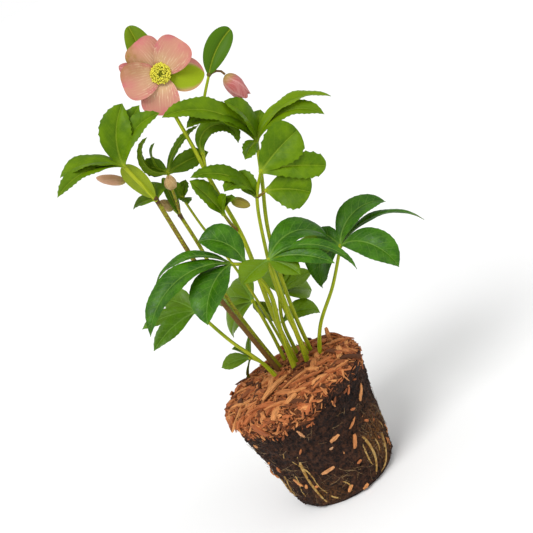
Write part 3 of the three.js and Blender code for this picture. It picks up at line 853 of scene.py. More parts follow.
@dataclass(frozen=True)
class Blade:
    """One leaflet, bract or sepal.

    It leaves its whorl at a compass heading and a rise above the level, bends down by droop over its
    length, and its face is rolled about its rib. Angles are degrees and sizes millimetres. tone moves its
    colour between its finish's shades: on a leaf, tone above 0 paints light shining through the blade and
    tone below 0 darkens it. stain darkens one edge, or the other one where it is below 0, and lift holds
    the blade off the ones behind it.
    """

    heading: float
    rise: float
    length: float
    width: float
    droop: float
    roll: float = 0.0
    tone: float = 0.0
    stain: float = 0.0
    lift: float = 0.0

    def axes(self, share: float) -> tuple[Vector, Vector, Vector]:
        """The blade's directions.

        Args:
            share: where along it they are wanted.

        Returns:
            Along the rib, across the blade, and out of its face.
        """
        along = direction(self.heading, self.rise - self.droop * share)
        heading = radians(self.heading)
        side = Vector((-sin(heading), cos(heading), 0))
        side.rotate(Matrix.Rotation(radians(self.roll), 3, along))
        return along, side, along.cross(side)

    def rib(self, at: Vector, outline: Outline) -> Callable[[float], Vector]:
        """The rib's curve.

        Args:
            at: where the blade starts.
            outline: its kind's outline.

        Returns:
            A function from a share of the length to a point.
        """
        count = min(8, max(4, int(self.length / outline.ring_step + 0.5)))
        shares = [1 - (1 - i / count) ** outline.crowd for i in range(count + 1)]
        points = [at.copy()]
        for low, high in zip(shares, shares[1:]):
            points.append(points[-1] + self.axes(low)[0] * self.length * (high - low))
        slopes = []
        for i in range(count + 1):
            a, b = max(0, i - 1), min(count, i + 1)
            slopes.append((points[b] - points[a]) / (shares[b] - shares[a]))

        def curve(share: float) -> Vector:
            """The rib's point at a share of its length."""
            i = next((k for k in range(count) if share <= shares[k + 1]), count - 1)
            step = shares[i + 1] - shares[i]
            w = (share - shares[i]) / step
            return (points[i] * (1 + 2 * w) * (1 - w) ** 2 + slopes[i] * step * w * (1 - w) ** 2
                    + points[i + 1] * w * w * (3 - 2 * w) + slopes[i + 1] * step * w * w * (w - 1))

        return curve

    def stations(self, outline: Outline) -> list[tuple[float, float]]:
        """Where the blade has its rows.

        Args:
            outline: its kind's outline.

        Returns:
            For each row a share of the length, and how much of the teeth's depth it has.
        """
        if not outline.tooth_depth:
            count = max(10, round(self.length / TOOTHLESS_STEP))
            return [(1 - (1 - i / count) ** 1.6, 0.0) for i in range(count + 1)]
        start = outline.toothed_from
        plain = max(4, round(self.length * start / PLAIN_STEP))
        rows = [(start * i / plain, PLAIN_EDGE) for i in range(plain)]
        teeth = max(3, round(self.length * (1 - start) / outline.tooth_step))
        for tooth in range(teeth):
            rows += [(start + (1 - start) * (tooth + part) / teeth, out) for part, out in TOOTH]
        return rows + [(1 - 0.3 / self.length, PLAIN_EDGE), (1.0, PLAIN_EDGE)]

    def stained(self, column: float, share: float) -> float:
        """How much of the stain shows, at a place across the blade and one along it."""
        edge = -column if self.stain > 0 else column
        return abs(self.stain) * ease(-0.1, 0.8, edge) * ease(0.1, 0.6, share)

    def add(self, shell: Shell, at: Vector, kind: Kind, slot: int, seed: float) -> None:
        """Add the blade to a piece.

        Args:
            shell: the piece.
            at: where the blade starts.
            kind: its kind.
            slot: its finish's place in the piece.
            seed: sets this blade's own waves apart.
        """
        outline = OUTLINES[kind]
        flattened = cos(radians(outline.fold))
        curve = self.rib(at, outline)
        top, under = [], []
        for share, out in self.stations(outline):
            _, side, face = self.axes(share)
            start = curve(share) + face * self.lift * ease(0, 0.3, share)
            half = max(lerp(THINNEST_FOOT, THINNEST_TIP, share), self.width / 2 * outline.share(share))
            run = share * self.length
            top.append([])
            under.append([])
            for column in COLUMNS:
                x = column * half
                wide = x * flattened + outline.tooth(column, share, out)
                middle = start + side * wide + face * outline.lift(column, half, run, share, seed)
                above, below = outline.sides(column, x, share)
                flat, place = (x, run, 10 * seed), (abs(column), share, self.stained(column, share))
                top[-1].append(Spot(middle + face * above, flat, (column, 0, self.tone), place))
                under[-1].append(Spot(middle - face * below, flat, (column, 1, self.tone), place))
        shell.sheet(top, under, slot)


def through(points: Sequence[Vector], where: float) -> Vector:
    """A point on the smooth curve through some points.

    Args:
        points: the curve's points.
        where: from 0 at the first point to 1 at the last.

    Returns:
        The point on the centripetal curve.
    """
    last = len(points) - 1
    i = min(int(last * where), last - 1)
    w = last * where - i
    p1, p2 = points[i], points[i + 1]
    p0 = points[i - 1] if i else p1 * 2 - p2
    p3 = points[i + 2] if i + 2 <= last else p2 * 2 - p1
    d0, d1, d2 = (max(1e-3, sqrt((b - a).length)) for a, b in ((p0, p1), (p1, p2), (p2, p3)))
    m1 = ((p1 - p0) / d0 - (p2 - p0) / (d0 + d1) + (p2 - p1) / d1) * d1
    m2 = ((p2 - p1) / d1 - (p3 - p1) / (d1 + d2) + (p3 - p2) / d2) * d1
    return p1 + m1 * w + (p2 * 3 - p1 * 3 - m1 * 2 - m2) * w ** 2 + (p1 * 2 - p2 * 2 + m1 + m2) * w ** 3


def evenly(points: Sequence[Vector], step: float) -> list[Vector]:
    """Divide the smooth curve through some points.

    Args:
        points: the curve's points.
        step: about how long each part is.

    Returns:
        The parts' ends.
    """
    parts = 200
    dense = [through(points, i / parts) for i in range(parts + 1)]
    runs = [0.0]
    for a, b in zip(dense, dense[1:]):
        runs.append(runs[-1] + (b - a).length)
    count = max(2, round(runs[-1] / step))
    found, k = [], 0
    for i in range(count + 1):
        target = runs[-1] * i / count
        while k < parts - 1 and runs[k + 1] < target:
            k += 1
        share = (target - runs[k]) / max(1e-6, runs[k + 1] - runs[k])
        found.append(dense[k].lerp(dense[k + 1], share))
    return found


@dataclass(frozen=True)
class Stalk:
    """A tapering stalk through some points, in millimetres.

    brown is how much of it is mottled at its foot and at its tip, joint how far its tip is dark and
    swollen, ridge how deep its furrows are as a share of its radius, and flare how much wider it is
    where it stands in the bark.
    """

    points: tuple[Triple, ...]
    foot_radius: float
    tip_radius: float
    brown: tuple[float, float] = (0.0, 0.0)
    joint: float = 0.0
    sides: int = 12
    step: float = 3.5
    ridge: float = 0.055
    flare: float = 0.0
    flare_end: tuple[float, float] = (22.0, 46.0)
    knob: float = 0.22
    knob_length: float = 4.0

    def add(self, shell: Shell, slot: int, seed: float) -> None:
        """Add the stalk to a piece.

        Args:
            shell: the piece.
            slot: its finish's place in the piece.
            seed: sets this stalk's own furrows apart.
        """
        middles = evenly([Vector(p) for p in self.points], self.step)
        length = sum((b - a).length for a, b in zip(middles, middles[1:]))
        first = (middles[1] - middles[0]).normalized()
        normal = Vector((1, 0, 0)) if abs(first.x) < 0.9 else Vector((0, 1, 0))
        rings, run = [], 0.0
        for i, middle in enumerate(middles):
            ahead = (middles[min(i + 1, len(middles) - 1)] - middles[max(i - 1, 0)]).normalized()
            normal = (normal - ahead * normal.dot(ahead)).normalized()
            run += (middle - middles[i - 1]).length if i else 0.0
            rings.append(self._ring(middle, (normal, ahead.cross(normal)), run, length, seed))
        shell.tube(rings, slot)

    def _ring(self, middle: Vector, axes: tuple[Vector, Vector], run: float, length: float,
              seed: float) -> list[Spot]:
        """One ring of the stalk.

        Args:
            middle: the ring's middle.
            axes: two directions across the stalk.
            run: how far along the stalk it is.
            length: how long the stalk is.
            seed: sets this stalk's own furrows apart.

        Returns:
            The ring's spots.
        """
        share, left = run / length, length - run
        radius = lerp(self.foot_radius, self.tip_radius, share)
        knob = self.knob * (1 - ease(0, self.knob_length, left)) * (self.joint > 0)
        radius *= 1 + self.flare * (1 - ease(*self.flare_end, run)) + knob
        joint = 1 - ease(0.3 * self.joint, self.joint, left) if self.joint else 0.0
        spots = []
        for k in range(self.sides):
            turn = 2 * pi * k / self.sides
            grown = radius * (1 + self.ridge * cos(5 * turn + 0.4 * sin(share * 9 + seed)))
            at = middle + (axes[0] * cos(turn) + axes[1] * sin(turn)) * grown
            values = (lerp(*self.brown, share), joint, 0)
            spots.append(Spot(at, (turn * radius, run, 10 * seed), values, (0, share, 0)))
        return spots


@dataclass(frozen=True)
class Whorl:
    """Blades that leave one point, with the small swelling that they leave; joint is how dark that is."""

    at: Triple
    kind: Kind
    blades: tuple[Blade, ...]
    joint: float = 0.0
    knuckle_radius: float = 1.9
    knuckle_sides: int = 10
    knuckle_rings: int = 7

    def add_knuckle(self, shell: Shell) -> None:
        """Add the swelling to a piece."""
        rings = []
        for i in range(self.knuckle_rings):
            tilt = pi * (0.04 + 0.92 * i / (self.knuckle_rings - 1))
            out, up = self.knuckle_radius * sin(tilt), -self.knuckle_radius * cos(tilt)
            spots = ring(self.knuckle_sides, out, up, vein=(0, self.joint, 0))
            for k, spot in enumerate(spots):
                spot.at += Vector(self.at)
                spot.flat = (k, i, 0)
            rings.append(spots)
        shell.tube(rings, 0)


@dataclass(frozen=True)
class LeafyStem:
    """A leaf with its stalk, or a flower stem with its bracts."""

    node: str
    slot: str
    stalks: tuple[Stalk, ...]
    whorls: tuple[Whorl, ...]

    def build(self, seed: float) -> Thing:
        """Make the fine piece that stands for this stem's solid.

        Args:
            seed: sets this stem's waves apart.

        Returns:
            The piece.
        """
        shell = Shell()
        for i, stalk in enumerate(self.stalks):
            stalk.add(shell, 0, seed + 0.3 * i)
        slots = {Kind.MATURE: 1, Kind.YOUNG: 2, Kind.BROAD: 2, Kind.STRAP: 3}
        for i, whorl in enumerate(self.whorls):
            whorl.add_knuckle(shell)
            for j, blade in enumerate(whorl.blades):
                blade.add(shell, Vector(whorl.at), whorl.kind, slots[whorl.kind], seed + 0.37 * i + 0.61 * j)
        finishes = (Finish.STEM, Finish.MATURE_LEAF, Finish.YOUNG_LEAF, Finish.BRACT)
        return settle(shell.piece(self.node + "_fine", finishes), self.slot, self.node)


# ---- The plant's plan ----

def foot(x: float, y: float) -> Triple:
    """Where a stalk stands in the root ball."""
    return (x, y, 80.0)


BLOOM_AT: Triple = (30, 16, 364)
BLOOM_FACING: Triple = (0.03, -0.98, 0.17)
HUB_SUNK = 1.5
HUB_THICKNESS = 2.2
NECK_END = HUB_SUNK + HUB_THICKNESS / 2 + 0.3


def behind_bloom(distance: float) -> Triple:
    """A point of the open bloom's neck, this far behind the bloom."""
    return tuple(Vector(BLOOM_AT) - distance * Vector(BLOOM_FACING))


# On a leaf, a blade's tone above 0 paints light shining through it; below 0 it darkens the blade.
MATURE, YOUNG, BROAD, STRAP = Kind.MATURE, Kind.YOUNG, Kind.BROAD, Kind.STRAP

LEAVES = (
    LeafyStem("leaf_front_left", "mature_leaf", (
        Stalk((foot(4, 8), (12, -4, 140), (20, -16, 178), (15, -34, 214)), 2.2, 1.7, (0.25, 0.0), flare=0.15),
        Stalk(((15, -34, 213), (6, -38, 220)), 1.6, 1.3),
    ), (
        Whorl((6, -38, 220), MATURE, (
            Blade(-165, 33, 93, 25, 95, -25),
            Blade(-138, 5, 58, 32, 70, -20),
            Blade(170, 52, 68, 13, 95, -10))),
        Whorl((15, -34, 214), MATURE, (Blade(160, 84, 44, 29, 88, -30),)),
    )),
    LeafyStem("leaf_front_right", "mature_leaf", (
        Stalk((foot(16, 9), (24, -7, 144), (28, -18, 176), (32, -30, 206)), 2.2, 1.7,
              (0.35, 0.0), flare=0.15),
    ), (
        Whorl((32, -30, 206), MATURE, (
            Blade(20, 30, 64, 26, 110, 35),
            Blade(-15, 10, 78, 11, 100, 20),
            Blade(-30, -5, 54, 16, 45, 30),
            Blade(-50, -20, 30, 18, 40, 20, tone=0.7),
            Blade(-140, 8, 36, 21, 20, -40, tone=1.0))),
    )),
    LeafyStem("leaf_right", "mature_leaf", (
        Stalk((foot(22, 11), (41, 4, 123), (67, -4, 153), (87, -8, 180)), 1.7, 1.3, (0.05, 0.0), flare=0.25),
    ), (
        Whorl((87, -8, 180), MATURE, (
            Blade(15, 52, 60, 24, 100, 30, tone=-0.3),
            Blade(10, 22, 82, 12, 85, 10, tone=-0.3),
            Blade(-48, 10, 60, 28, 100, 20, tone=-0.3),
            Blade(125, 60, 26, 15, 50, -20, tone=-0.3),
            Blade(155, 38, 36, 14, 30, -30, tone=0.7),
            Blade(135, -8, 56, 36, 82, -60, tone=-0.6))),
    )),
    LeafyStem("leaf_low_left", "mature_leaf", (
        Stalk((foot(-6, 7), (-13, 4, 119), (-27, 1, 153), (-38, -5, 191)), 1.7, 1.3, (0.1, 0.0), flare=0.2),
    ), (
        Whorl((-38, -5, 191), MATURE, (
            Blade(130, 40, 34, 22, 35, -30, tone=0.5),
            Blade(175, 23, 46, 14, 35, -40, tone=0.45),
            Blade(-160, 5, 47, 16, 35, -50, tone=0.35))),
    )),
    LeafyStem("leaf_small_left", "mature_leaf", (
        Stalk((foot(-10, 18), (-14, 20, 114), (-21, 22, 124)), 1.5, 1.2),
    ), (
        Whorl((-21, 22, 124), MATURE, (
            Blade(155, 10, 29, 14, 25, -40, tone=0.8),
            Blade(125, -40, 28, 9, 25, -30, tone=0.7),
            Blade(60, 40, 26, 12, 20, -30, tone=0.8),
            Blade(-150, 65, 20, 12, 20, -30, tone=0.8))),
    )),
    LeafyStem("leaf_back_left", "mature_leaf", (
        Stalk((foot(1, 31), (4, 32, 130), (4, 34, 162)), 1.7, 1.4),
    ), (
        Whorl((4, 34, 162), MATURE, (
            Blade(150, -12, 46, 27, 65, -40, tone=0.85),
            Blade(60, -55, 34, 20, 25, 0, tone=0.7),
            Blade(125, 20, 45, 25, 45, -20, tone=0.8),
            Blade(95, 50, 35, 20, 60, 0, tone=0.8))),
    )),
    LeafyStem("leaf_back_right", "mature_leaf", (
        Stalk((foot(14, 31), (17, 32, 134), (26, 34, 157)), 1.8, 1.4),
    ), (
        Whorl((26, 34, 157), MATURE, (
            Blade(15, 10, 35, 20, 30, 30, tone=0.8),
            Blade(40, -15, 40, 30, 40, 60, tone=0.8),
            Blade(60, 30, 45, 25, 55, 10, tone=0.8),
            Blade(80, 40, 40, 22, 60, 0, tone=0.8))),
        Whorl((17, 32, 134), MATURE, (Blade(0, 15, 36, 20, 85, 30, tone=0.8),)),
    )),
    LeafyStem("leaf_upper_right", "young_leaf", (
        Stalk((foot(24, 25), (30, 16, 150), (43, 9, 215), (59, 4, 257), (69, 0, 285)), 1.8, 1.5),
    ), (
        Whorl((69, 0, 285), YOUNG, (
            Blade(5, 38, 75, 17, 85, 15, tone=0.5),
            Blade(-5, 36, 64, 20, 100, 30, tone=0.35),
            Blade(-165, 78, 84, 20, 78, -55, tone=0.25),
            Blade(175, 102, 42, 24, 60, -25),
            Blade(-170, 90, 67, 20, 115, -50),
            Blade(-120, 5, 31, 12, 25, -60, tone=-0.2),
            Blade(45, 50, 28, 15, 30, 30)), joint=0.3),
    )),
    LeafyStem("leaf_mid_right", "young_leaf", (
        Stalk((foot(21, 17), (25, 6, 163), (37, 1, 215), (48, -8, 248), (60, -19, 267)), 1.8, 1.3),
        Stalk(((48, -8, 248), (57, -12, 250)), 1.2, 1.0, (0.6, 0.4)),
    ), (
        Whorl((60, -19, 267), BROAD, (
            Blade(0, 25, 42, 32, 15, 75),
            Blade(-10, -15, 50, 20, 20, 70))),
        Whorl((57, -12, 250), BROAD, (Blade(-30, -14, 36, 31, 25, 60),)),
        Whorl((48, -8, 249), YOUNG, (
            Blade(-175, 78, 58, 15, 76, -45, tone=-0.2),
            Blade(-150, 80, 34, 17, 110, -45, tone=-0.3),
            Blade(100, 75, 25, 14, 30, -20)), joint=0.6),
    )),
    LeafyStem("leaf_mid_left", "young_leaf", (
        Stalk((foot(8, 24), (8, 18, 160), (5, 15, 205), (-1, 15, 245), (-3, 14, 272)), 1.3, 1.0),
    ), (
        Whorl((-3, 14, 272), YOUNG, (
            Blade(-80, 0, 14, 10, 40, -30),
            Blade(30, 50, 15, 9, 15, 35),
            Blade(110, 75, 16, 12, 20, -40))),
    )),
)

FLOWER_STEMS = (
    LeafyStem("flower_stem_left", "young_leaf", (
        Stalk((foot(-2, 15), (-12, 5, 150), (-17, -3, 190), (-19, -9, 230), (-20, -14, 288)), 2.1, 1.8,
              (0.85, 0.38), joint=9),
        Stalk(((-20, -14, 286), (-24, -17, 304), (-28, -20, 322)), 1.9, 1.5),
        Stalk(((-20, -14, 286), (-26, -8, 297), (-30, -4, 305), (-33, -3, 308)), 1.0, 1.1, (0.5, 0.3)),
    ), (
        Whorl((-20, -15, 288), STRAP, (Blade(-150, 75, 36, 16, 5, 60),), joint=1.0),
        Whorl((-28, -20, 322), YOUNG, (
            Blade(15, 80, 48, 25, 50, 65, tone=-0.2),
            Blade(-5, 57, 52, 17, 75, 50),
            Blade(15, 60, 48, 18, 40, 45),
            Blade(-170, 45, 50, 22, 60, -20, tone=0.2),
            Blade(-155, 35, 60, 15, 65, -35, tone=0.2)), joint=0.3),
        Whorl((-20, -14, 287), YOUNG, (
            Blade(140, 10, 26, 13, 30, -20),
            Blade(75, 30, 22, 16, 20, 30))),
    )),
    LeafyStem("flower_stem_middle", "young_leaf", (
        Stalk((foot(0, 23), (-9, 12, 148), (-12, 5, 186), (-10, 2, 230), (-11, 0, 265)), 1.8, 1.5,
              (0.3, 0.3), joint=7),
        Stalk(((-11, 0, 263), (-8, -3, 275), (-6, -6, 286)), 1.1, 1.2, (0.4, 0.4)),
        Stalk(((-11, 0, 263), (-8, 5, 280), (-3, 10, 296)), 1.3, 1.1),
        Stalk(((-11, 0, 263), (-12, 3, 266), (-13, 5, 269)), 0.9, 1.0),
    ), (
        Whorl((-11, 0, 264), STRAP, (Blade(60, 82, 32, 10, 5, 60, tone=-0.8),), joint=0.8),
        Whorl((-3, 10, 296), YOUNG, (
            Blade(5, 4, 36, 15, 20, 75, tone=-0.8),
            Blade(15, 45, 46, 7, 50, 30, tone=-0.8),
            Blade(165, 50, 22, 15, 20, -60, tone=-0.8),
            Blade(-20, 125, 30, 9, 110, 20, tone=-0.9),
            Blade(10, 150, 43, 10, 150, -40, tone=-0.9))),
    )),
    LeafyStem("flower_stem_main", "young_leaf", (
        Stalk((foot(9, 16), (13, 8, 150), (18, 4, 186), (23, 3, 225), (23, 3, 275), (24, 5, 305),
               (24, 9, 335), (25, 17, 350)), 2.3, 1.4, (0.1, 0.0)),
        Stalk(((23, 4, 283), (30, 7, 300), (37, 10, 313), (50, 12, 332), (62, 12, 346)), 1.5, 1.1),
        Stalk(((61, 12, 345), (67, 13, 346), (72, 14, 343), (73, 14, 340)), 0.9, 0.9, (0.9, 0.9)),
        Stalk(((25, 14, 345), (21, 22, 358), (19, 24, 366), (15, 24, 372)), 0.9, 0.9, (0.3, 0.3)),
        Stalk(((22, 3, 230), (20, -5, 240), (19, -10, 250)), 1.4, 1.3, (0.6, 0.3)),
        Stalk(((19, -10, 249), (23, -8, 256), (27, -6, 258), (29, -6, 256)), 0.8, 0.9, (0.9, 0.9)),
        Stalk(((24, 14, 345), (27, 21, 356), behind_bloom(8), behind_bloom(NECK_END)), 1.4, 1.3),
    ), (
        Whorl((24, 12, 342), STRAP, (Blade(86, 50, 72, 24, -30, 15, tone=-0.45),)),
        Whorl((62, 12, 346), STRAP, (Blade(5, 48, 39, 20, 35, 75, tone=-1.0),), joint=0.7),
        Whorl((28, 6, 296), YOUNG, (
            Blade(0, 75, 54, 14, 210, 60, tone=-0.2),
            Blade(5, 70, 46, 13, 160, 55, tone=-0.2))),
        Whorl((19, -10, 250), YOUNG, (
            Blade(-165, 80, 38, 18, 15, -60, tone=-0.3),
            Blade(-45, 60, 20, 12, 30, 60, tone=-0.3),
            Blade(-25, 60, 20, 8, 90, 30, tone=-0.3))),
    )),
)


# ---- Buds ----

@dataclass(frozen=True)
class Bud:
    """A bud of overlapping sepals, just past the end of a flower stem's stalk.

    Its heading and rise are degrees, and its length, width and clearance millimetres. mouth is how wide
    its blunt, notched end is as a share of its width; without one it closes to a point. profile has
    half-widths with the share of the length where they lie, and rim says where a mouth turns inwards.
    """

    node: str
    slot: str
    finish: Finish
    stem: str
    stalk_index: int
    heading: float
    rise: float
    length: float
    width: float
    turn: float = 0.0
    mouth: float = 0.0
    clearance: float = 0.6
    profile: tuple[tuple[float, float], ...] = (
        (0.12, 0.0), (0.4, 0.03), (0.66, 0.1), (0.86, 0.2), (0.97, 0.33), (1.0, 0.45), (0.95, 0.58),
        (0.84, 0.72), (0.66, 0.84), (0.42, 0.93), (0.2, 0.985), (0.04, 1.0))
    widest_at: float = 0.45
    rim: float = 0.84
    sepals: int = 5
    overlap: float = 0.045
    furrow: float = 0.035
    around: int = 60
    steps: int = 30
    crease: float = 60.0

    def build(self) -> Thing:
        """Make the fine bud that stands for this bud's solid.

        Returns:
            The piece.
        """
        axis = direction(self.heading, self.rise)
        stem = next(stem for stem in FLOWER_STEMS if stem.node == self.stem)
        base = Vector(stem.stalks[self.stalk_index].points[-1]) + axis * self.clearance
        turned = axis.to_track_quat("Z", "Y").to_matrix().to_4x4()
        shell = Shell()
        shell.tube([self._ring(*self._station(i / self.steps)) for i in range(self.steps + 1)], 0)
        matrix = Matrix.Translation(base) @ turned
        piece = shell.piece(self.node + "_fine", (self.finish,), matrix, self.crease)
        return settle(piece, self.slot, self.node)

    def _ring(self, half: float, share: float) -> list[Spot]:
        """One ring, whose sepals each stand out towards the edge that laps over the next.

        Args:
            half: its half-width as a share of the widest.
            share: its height as a share of the length.

        Returns:
            The ring's spots, with the bud's foot at the origin and its length along Z.
        """
        radius = half * self.width / 2
        spots = []
        for k in range(self.around):
            turn = 2 * pi * k / self.around
            wrap = (self.sepals * (turn / (2 * pi)) + 0.9 * share + self.turn) % 1.0
            overlap = wrap if wrap < 0.94 else (1 - wrap) / 0.06 * 0.94
            grown = radius * (1 - self.overlap + self.overlap * overlap)
            grown *= 1 + self.furrow * cos(self.sepals * turn)
            notch = 0.2 * self.mouth * (1 - abs(sin(self.sepals / 2 * turn + self.turn)))
            up = self.length * (share - notch * share ** 8)
            flat = (turn * radius, up, self.turn)
            spots.append(Spot(polar(turn, grown, up), flat, place=(overlap, share, 0)))
        return spots

    def _station(self, share: float) -> tuple[float, float]:
        """Where a ring lies.

        Args:
            share: how far it is from the bud's foot, past the rim and into the mouth.

        Returns:
            Its half-width and its height, as shares of the widest and of the length.
        """
        if not self.mouth:
            return self._half(share), share
        if share > self.rim:
            inward = (share - self.rim) / (1 - self.rim)
            return lerp(0.92 * self.mouth, 0.04, inward), 1 - 0.2 * inward
        height = share / self.rim
        if height <= self.widest_at:
            return self._half(height), height
        blunt = lerp(1.0, self.mouth, ((height - self.widest_at) / (1 - self.widest_at)) ** 1.4)
        return max(self._half(height), blunt), height

    def _half(self, share: float) -> float:
        """The profile's half-width.

        Args:
            share: the share of the length to look at.

        Returns:
            A share of the widest.
        """
        for (r0, s0), (r1, s1) in zip(self.profile, self.profile[1:]):
            if share <= s1:
                return lerp(r0, r1, (share - s0) / (s1 - s0))
        return self.profile[-1][0]


BUDS = (
    Bud("bud_left", "bud_pink", Finish.FADED_BUD, "flower_stem_left", 2, 170, 35, 23, 8.5, 0.2),
    Bud("bud_middle", "bud_pink", Finish.BEIGE_BUD, "flower_stem_middle", 1, -60, 60, 12, 10, 0.6, 0.45),
    Bud("bud_tall", "bud_pink", Finish.PINK_BUD, "flower_stem_main", 2, 0, -77, 24, 14.5, 0.35, 0.72),
    Bud("bud_back", "bud_pink", Finish.PINK_BUD, "flower_stem_main", 3, 180, 50, 15, 11, 0.1),
    Bud("bud_green", "bud_green", Finish.GREEN_BUD, "flower_stem_main", 5, -5, -45, 15.5, 8.5, 0.5),
    Bud("bud_spent", "bud_pink", Finish.BEIGE_BUD, "flower_stem_middle", 3, 140, 50, 13, 9, 0.8),
)


# ---- Geometry node trees ----

class Stock:
    """Small shapes kept out of the scene, for a tree to choose from."""

    def __init__(self, name: str) -> None:
        """Start an empty stock."""
        self.shapes = bpy.data.collections.new(name)

    def keep(self, name: str, points: Sequence[Vector], faces: Sequence[Sequence[int]],
             values: Sequence[Triple] | None = None, key: str = "grain") -> None:
        """Keep one shape.

        Args:
            name: the shape's name.
            points: its points in metres.
            faces: its faces.
            values: what each point carries; left out, its own place.
            key: the name of what it carries.
        """
        mesh = bpy.data.meshes.new(name)
        mesh.from_pydata(points, [], faces)
        store(mesh, key, values or points)
        self.shapes.objects.link(bpy.data.objects.new(name, mesh))

    def clear(self) -> None:
        """Remove the shapes once nothing needs them."""
        for thing in list(self.shapes.objects):
            bpy.data.objects.remove(thing)
        bpy.data.collections.remove(self.shapes)


class Tree(Nodes):
    """A geometry node tree with named inputs, applied to a mesh as a modifier and turned into a mesh."""

    def __init__(self, name: str, **inputs: float) -> None:
        """Start a tree.

        Args:
            name: the tree's name.
            inputs: its named inputs with their values; a whole number makes a whole number's input.
        """
        super().__init__(bpy.data.node_groups.new(name, "GeometryNodeTree"))
        face = self.tree.interface
        face.new_socket(name="Geometry", in_out="INPUT", socket_type="NodeSocketGeometry")
        self.settings = {}
        for key, value in inputs.items():
            kind = "NodeSocketInt" if isinstance(value, int) else "NodeSocketFloat"
            self.settings[face.new_socket(name=key, in_out="INPUT", socket_type=kind).identifier] = value
        face.new_socket(name="Geometry", in_out="OUTPUT", socket_type="NodeSocketGeometry")
        self.source = self.add("NodeGroupInput")

    def vector(self, x: Value, y: Value, z: Value) -> Socket:
        """A vector from its three parts."""
        return self.add("ShaderNodeCombineXYZ", in_0=x, in_1=y, in_2=z)[0]

    def random(self, kind: str, **inputs: object) -> Socket:
        """A random value of a kind for each point."""
        return self.in_use(self.add("FunctionNodeRandomValue", {"data_type": kind}, **inputs), "Value")

    def set_out(self, points: Socket, shapes: bpy.types.Collection, rotation: Socket, size: Socket) -> Socket:
        """Instances of the shapes, one at each point with its own rotation and size."""
        chosen = self.add("GeometryNodeCollectionInfo", Collection=shapes, Separate_Children=True,
                          Reset_Children=True)[0]
        return self.add("GeometryNodeInstanceOnPoints", Points=points, Instance=chosen, Pick_Instance=True,
                        Rotation=rotation, Scale=size)[0]

    def end(self, instances: Socket, finish: Finish) -> None:
        """Give each instance its own tone, make them real, give them their finish and close the tree.

        Args:
            instances: the instances.
            finish: their finish.
        """
        own = {"data_type": "FLOAT_VECTOR", "domain": "INSTANCE"}
        toned = self.add("GeometryNodeStoreNamedAttribute", own, Geometry=instances, Name="tone",
                         Value=self.random("FLOAT_VECTOR", Seed=7))[0]
        real = self.add("GeometryNodeRealizeInstances", Geometry=toned)[0]
        dressed = self.add("GeometryNodeSetMaterial", Geometry=real, Material=finish.made())[0]
        flat = self.add("GeometryNodeSetShadeSmooth", Geometry=dressed, Shade_Smooth=False)[0]
        self.add("NodeGroupOutput", in_0=flat)

    def grow(self, host: Thing, name: str) -> Thing:
        """Run the tree on an object and keep the result as a mesh of its own.

        Args:
            host: the object that the tree starts from, left as it was.
            name: the new piece's name.

        Returns:
            The new piece.
        """
        modifier = host.modifiers.new(name, "NODES")
        modifier.node_group = self.tree
        for identifier, value in self.settings.items():
            modifier[identifier] = value
        host.update_tag()
        graph = bpy.context.evaluated_depsgraph_get()
        graph.update()
        mesh = bpy.data.meshes.new_from_object(
            host.evaluated_get(graph), preserve_all_data_layers=True, depsgraph=graph)
        host.modifiers.remove(modifier)
        mesh.name = name
        return add_object(name, mesh)


@dataclass(frozen=True)
class Strewn:
    """Small shapes strewn over a surface where its cover says.

    density is how many there are to a square metre, smallest and largest are sizes as shares of the
    shapes' own, tilt is how far they lean in radians and lift how far they stand off in metres.
    """

    name: str
    finish: Finish
    density: float
    smallest: float
    largest: float
    seed: int
    tilt: float = 0.3
    lift: float = 0.0

    def lay(self, host: Thing, stock: Stock, slot: str, cover: Cover) -> None:
        """Strew a stock's shapes over a surface, and clear the stock away.

        Args:
            host: the surface.
            stock: the shapes to choose from.
            slot: not used.
            cover: how much of the surface they cover, for a point in millimetres and its normal.
        """
        mesh = host.data
        data = mesh.attributes.new("cover", "FLOAT", "POINT").data
        data.foreach_set("value", [cover(v.co / MM, v.normal) for v in mesh.vertices])
        settle(outwards(self._tree(stock.shapes).grow(host, self.name)), slot)
        mesh.attributes.remove(mesh.attributes["cover"])
        stock.clear()

    def _tree(self, shapes: bpy.types.Collection) -> Tree:
        """Build the tree.

        Args:
            shapes: the shapes to choose from.

        Returns:
            The tree, for a surface whose cover scales the density.
        """
        tree = Tree(self.name, Density=self.density, Smallest=self.smallest, Largest=self.largest,
                    Tilt=self.tilt, Lift=self.lift, Seed=self.seed)
        source = tree.source
        cover = tree.add("GeometryNodeInputNamedAttribute", {"data_type": "FLOAT"}, Name="cover")[0]
        density = tree.times(source["Density"], cover)
        spread = tree.add("GeometryNodeDistributePointsOnFaces", in_0=source["Geometry"], Density=density,
                          Seed=source["Seed"])
        points, rotation = spread[0], spread[2]
        back = tree.times(source["Tilt"], -1.0)
        spin = tree.random("FLOAT_VECTOR", Min=tree.vector(back, back, 0.0), Seed=source["Seed"],
                           Max=tree.vector(source["Tilt"], source["Tilt"], 2 * pi))
        spin = tree.add("FunctionNodeEulerToRotation", in_0=spin)[0]
        turned = tree.add("FunctionNodeRotateRotation", {"rotation_space": "LOCAL"}, in_0=rotation,
                          in_1=spin)[0]
        size = tree.random("FLOAT", Min=source["Smallest"], Max=source["Largest"], Seed=source["Seed"])
        placed = tree.set_out(points, shapes, turned, size)
        lifted = tree.add("GeometryNodeTranslateInstances", Instances=placed,
                          Translation=tree.vector(0.0, 0.0, source["Lift"]), Local_Space=True)[0]
        tree.end(lifted, self.finish)
        return tree


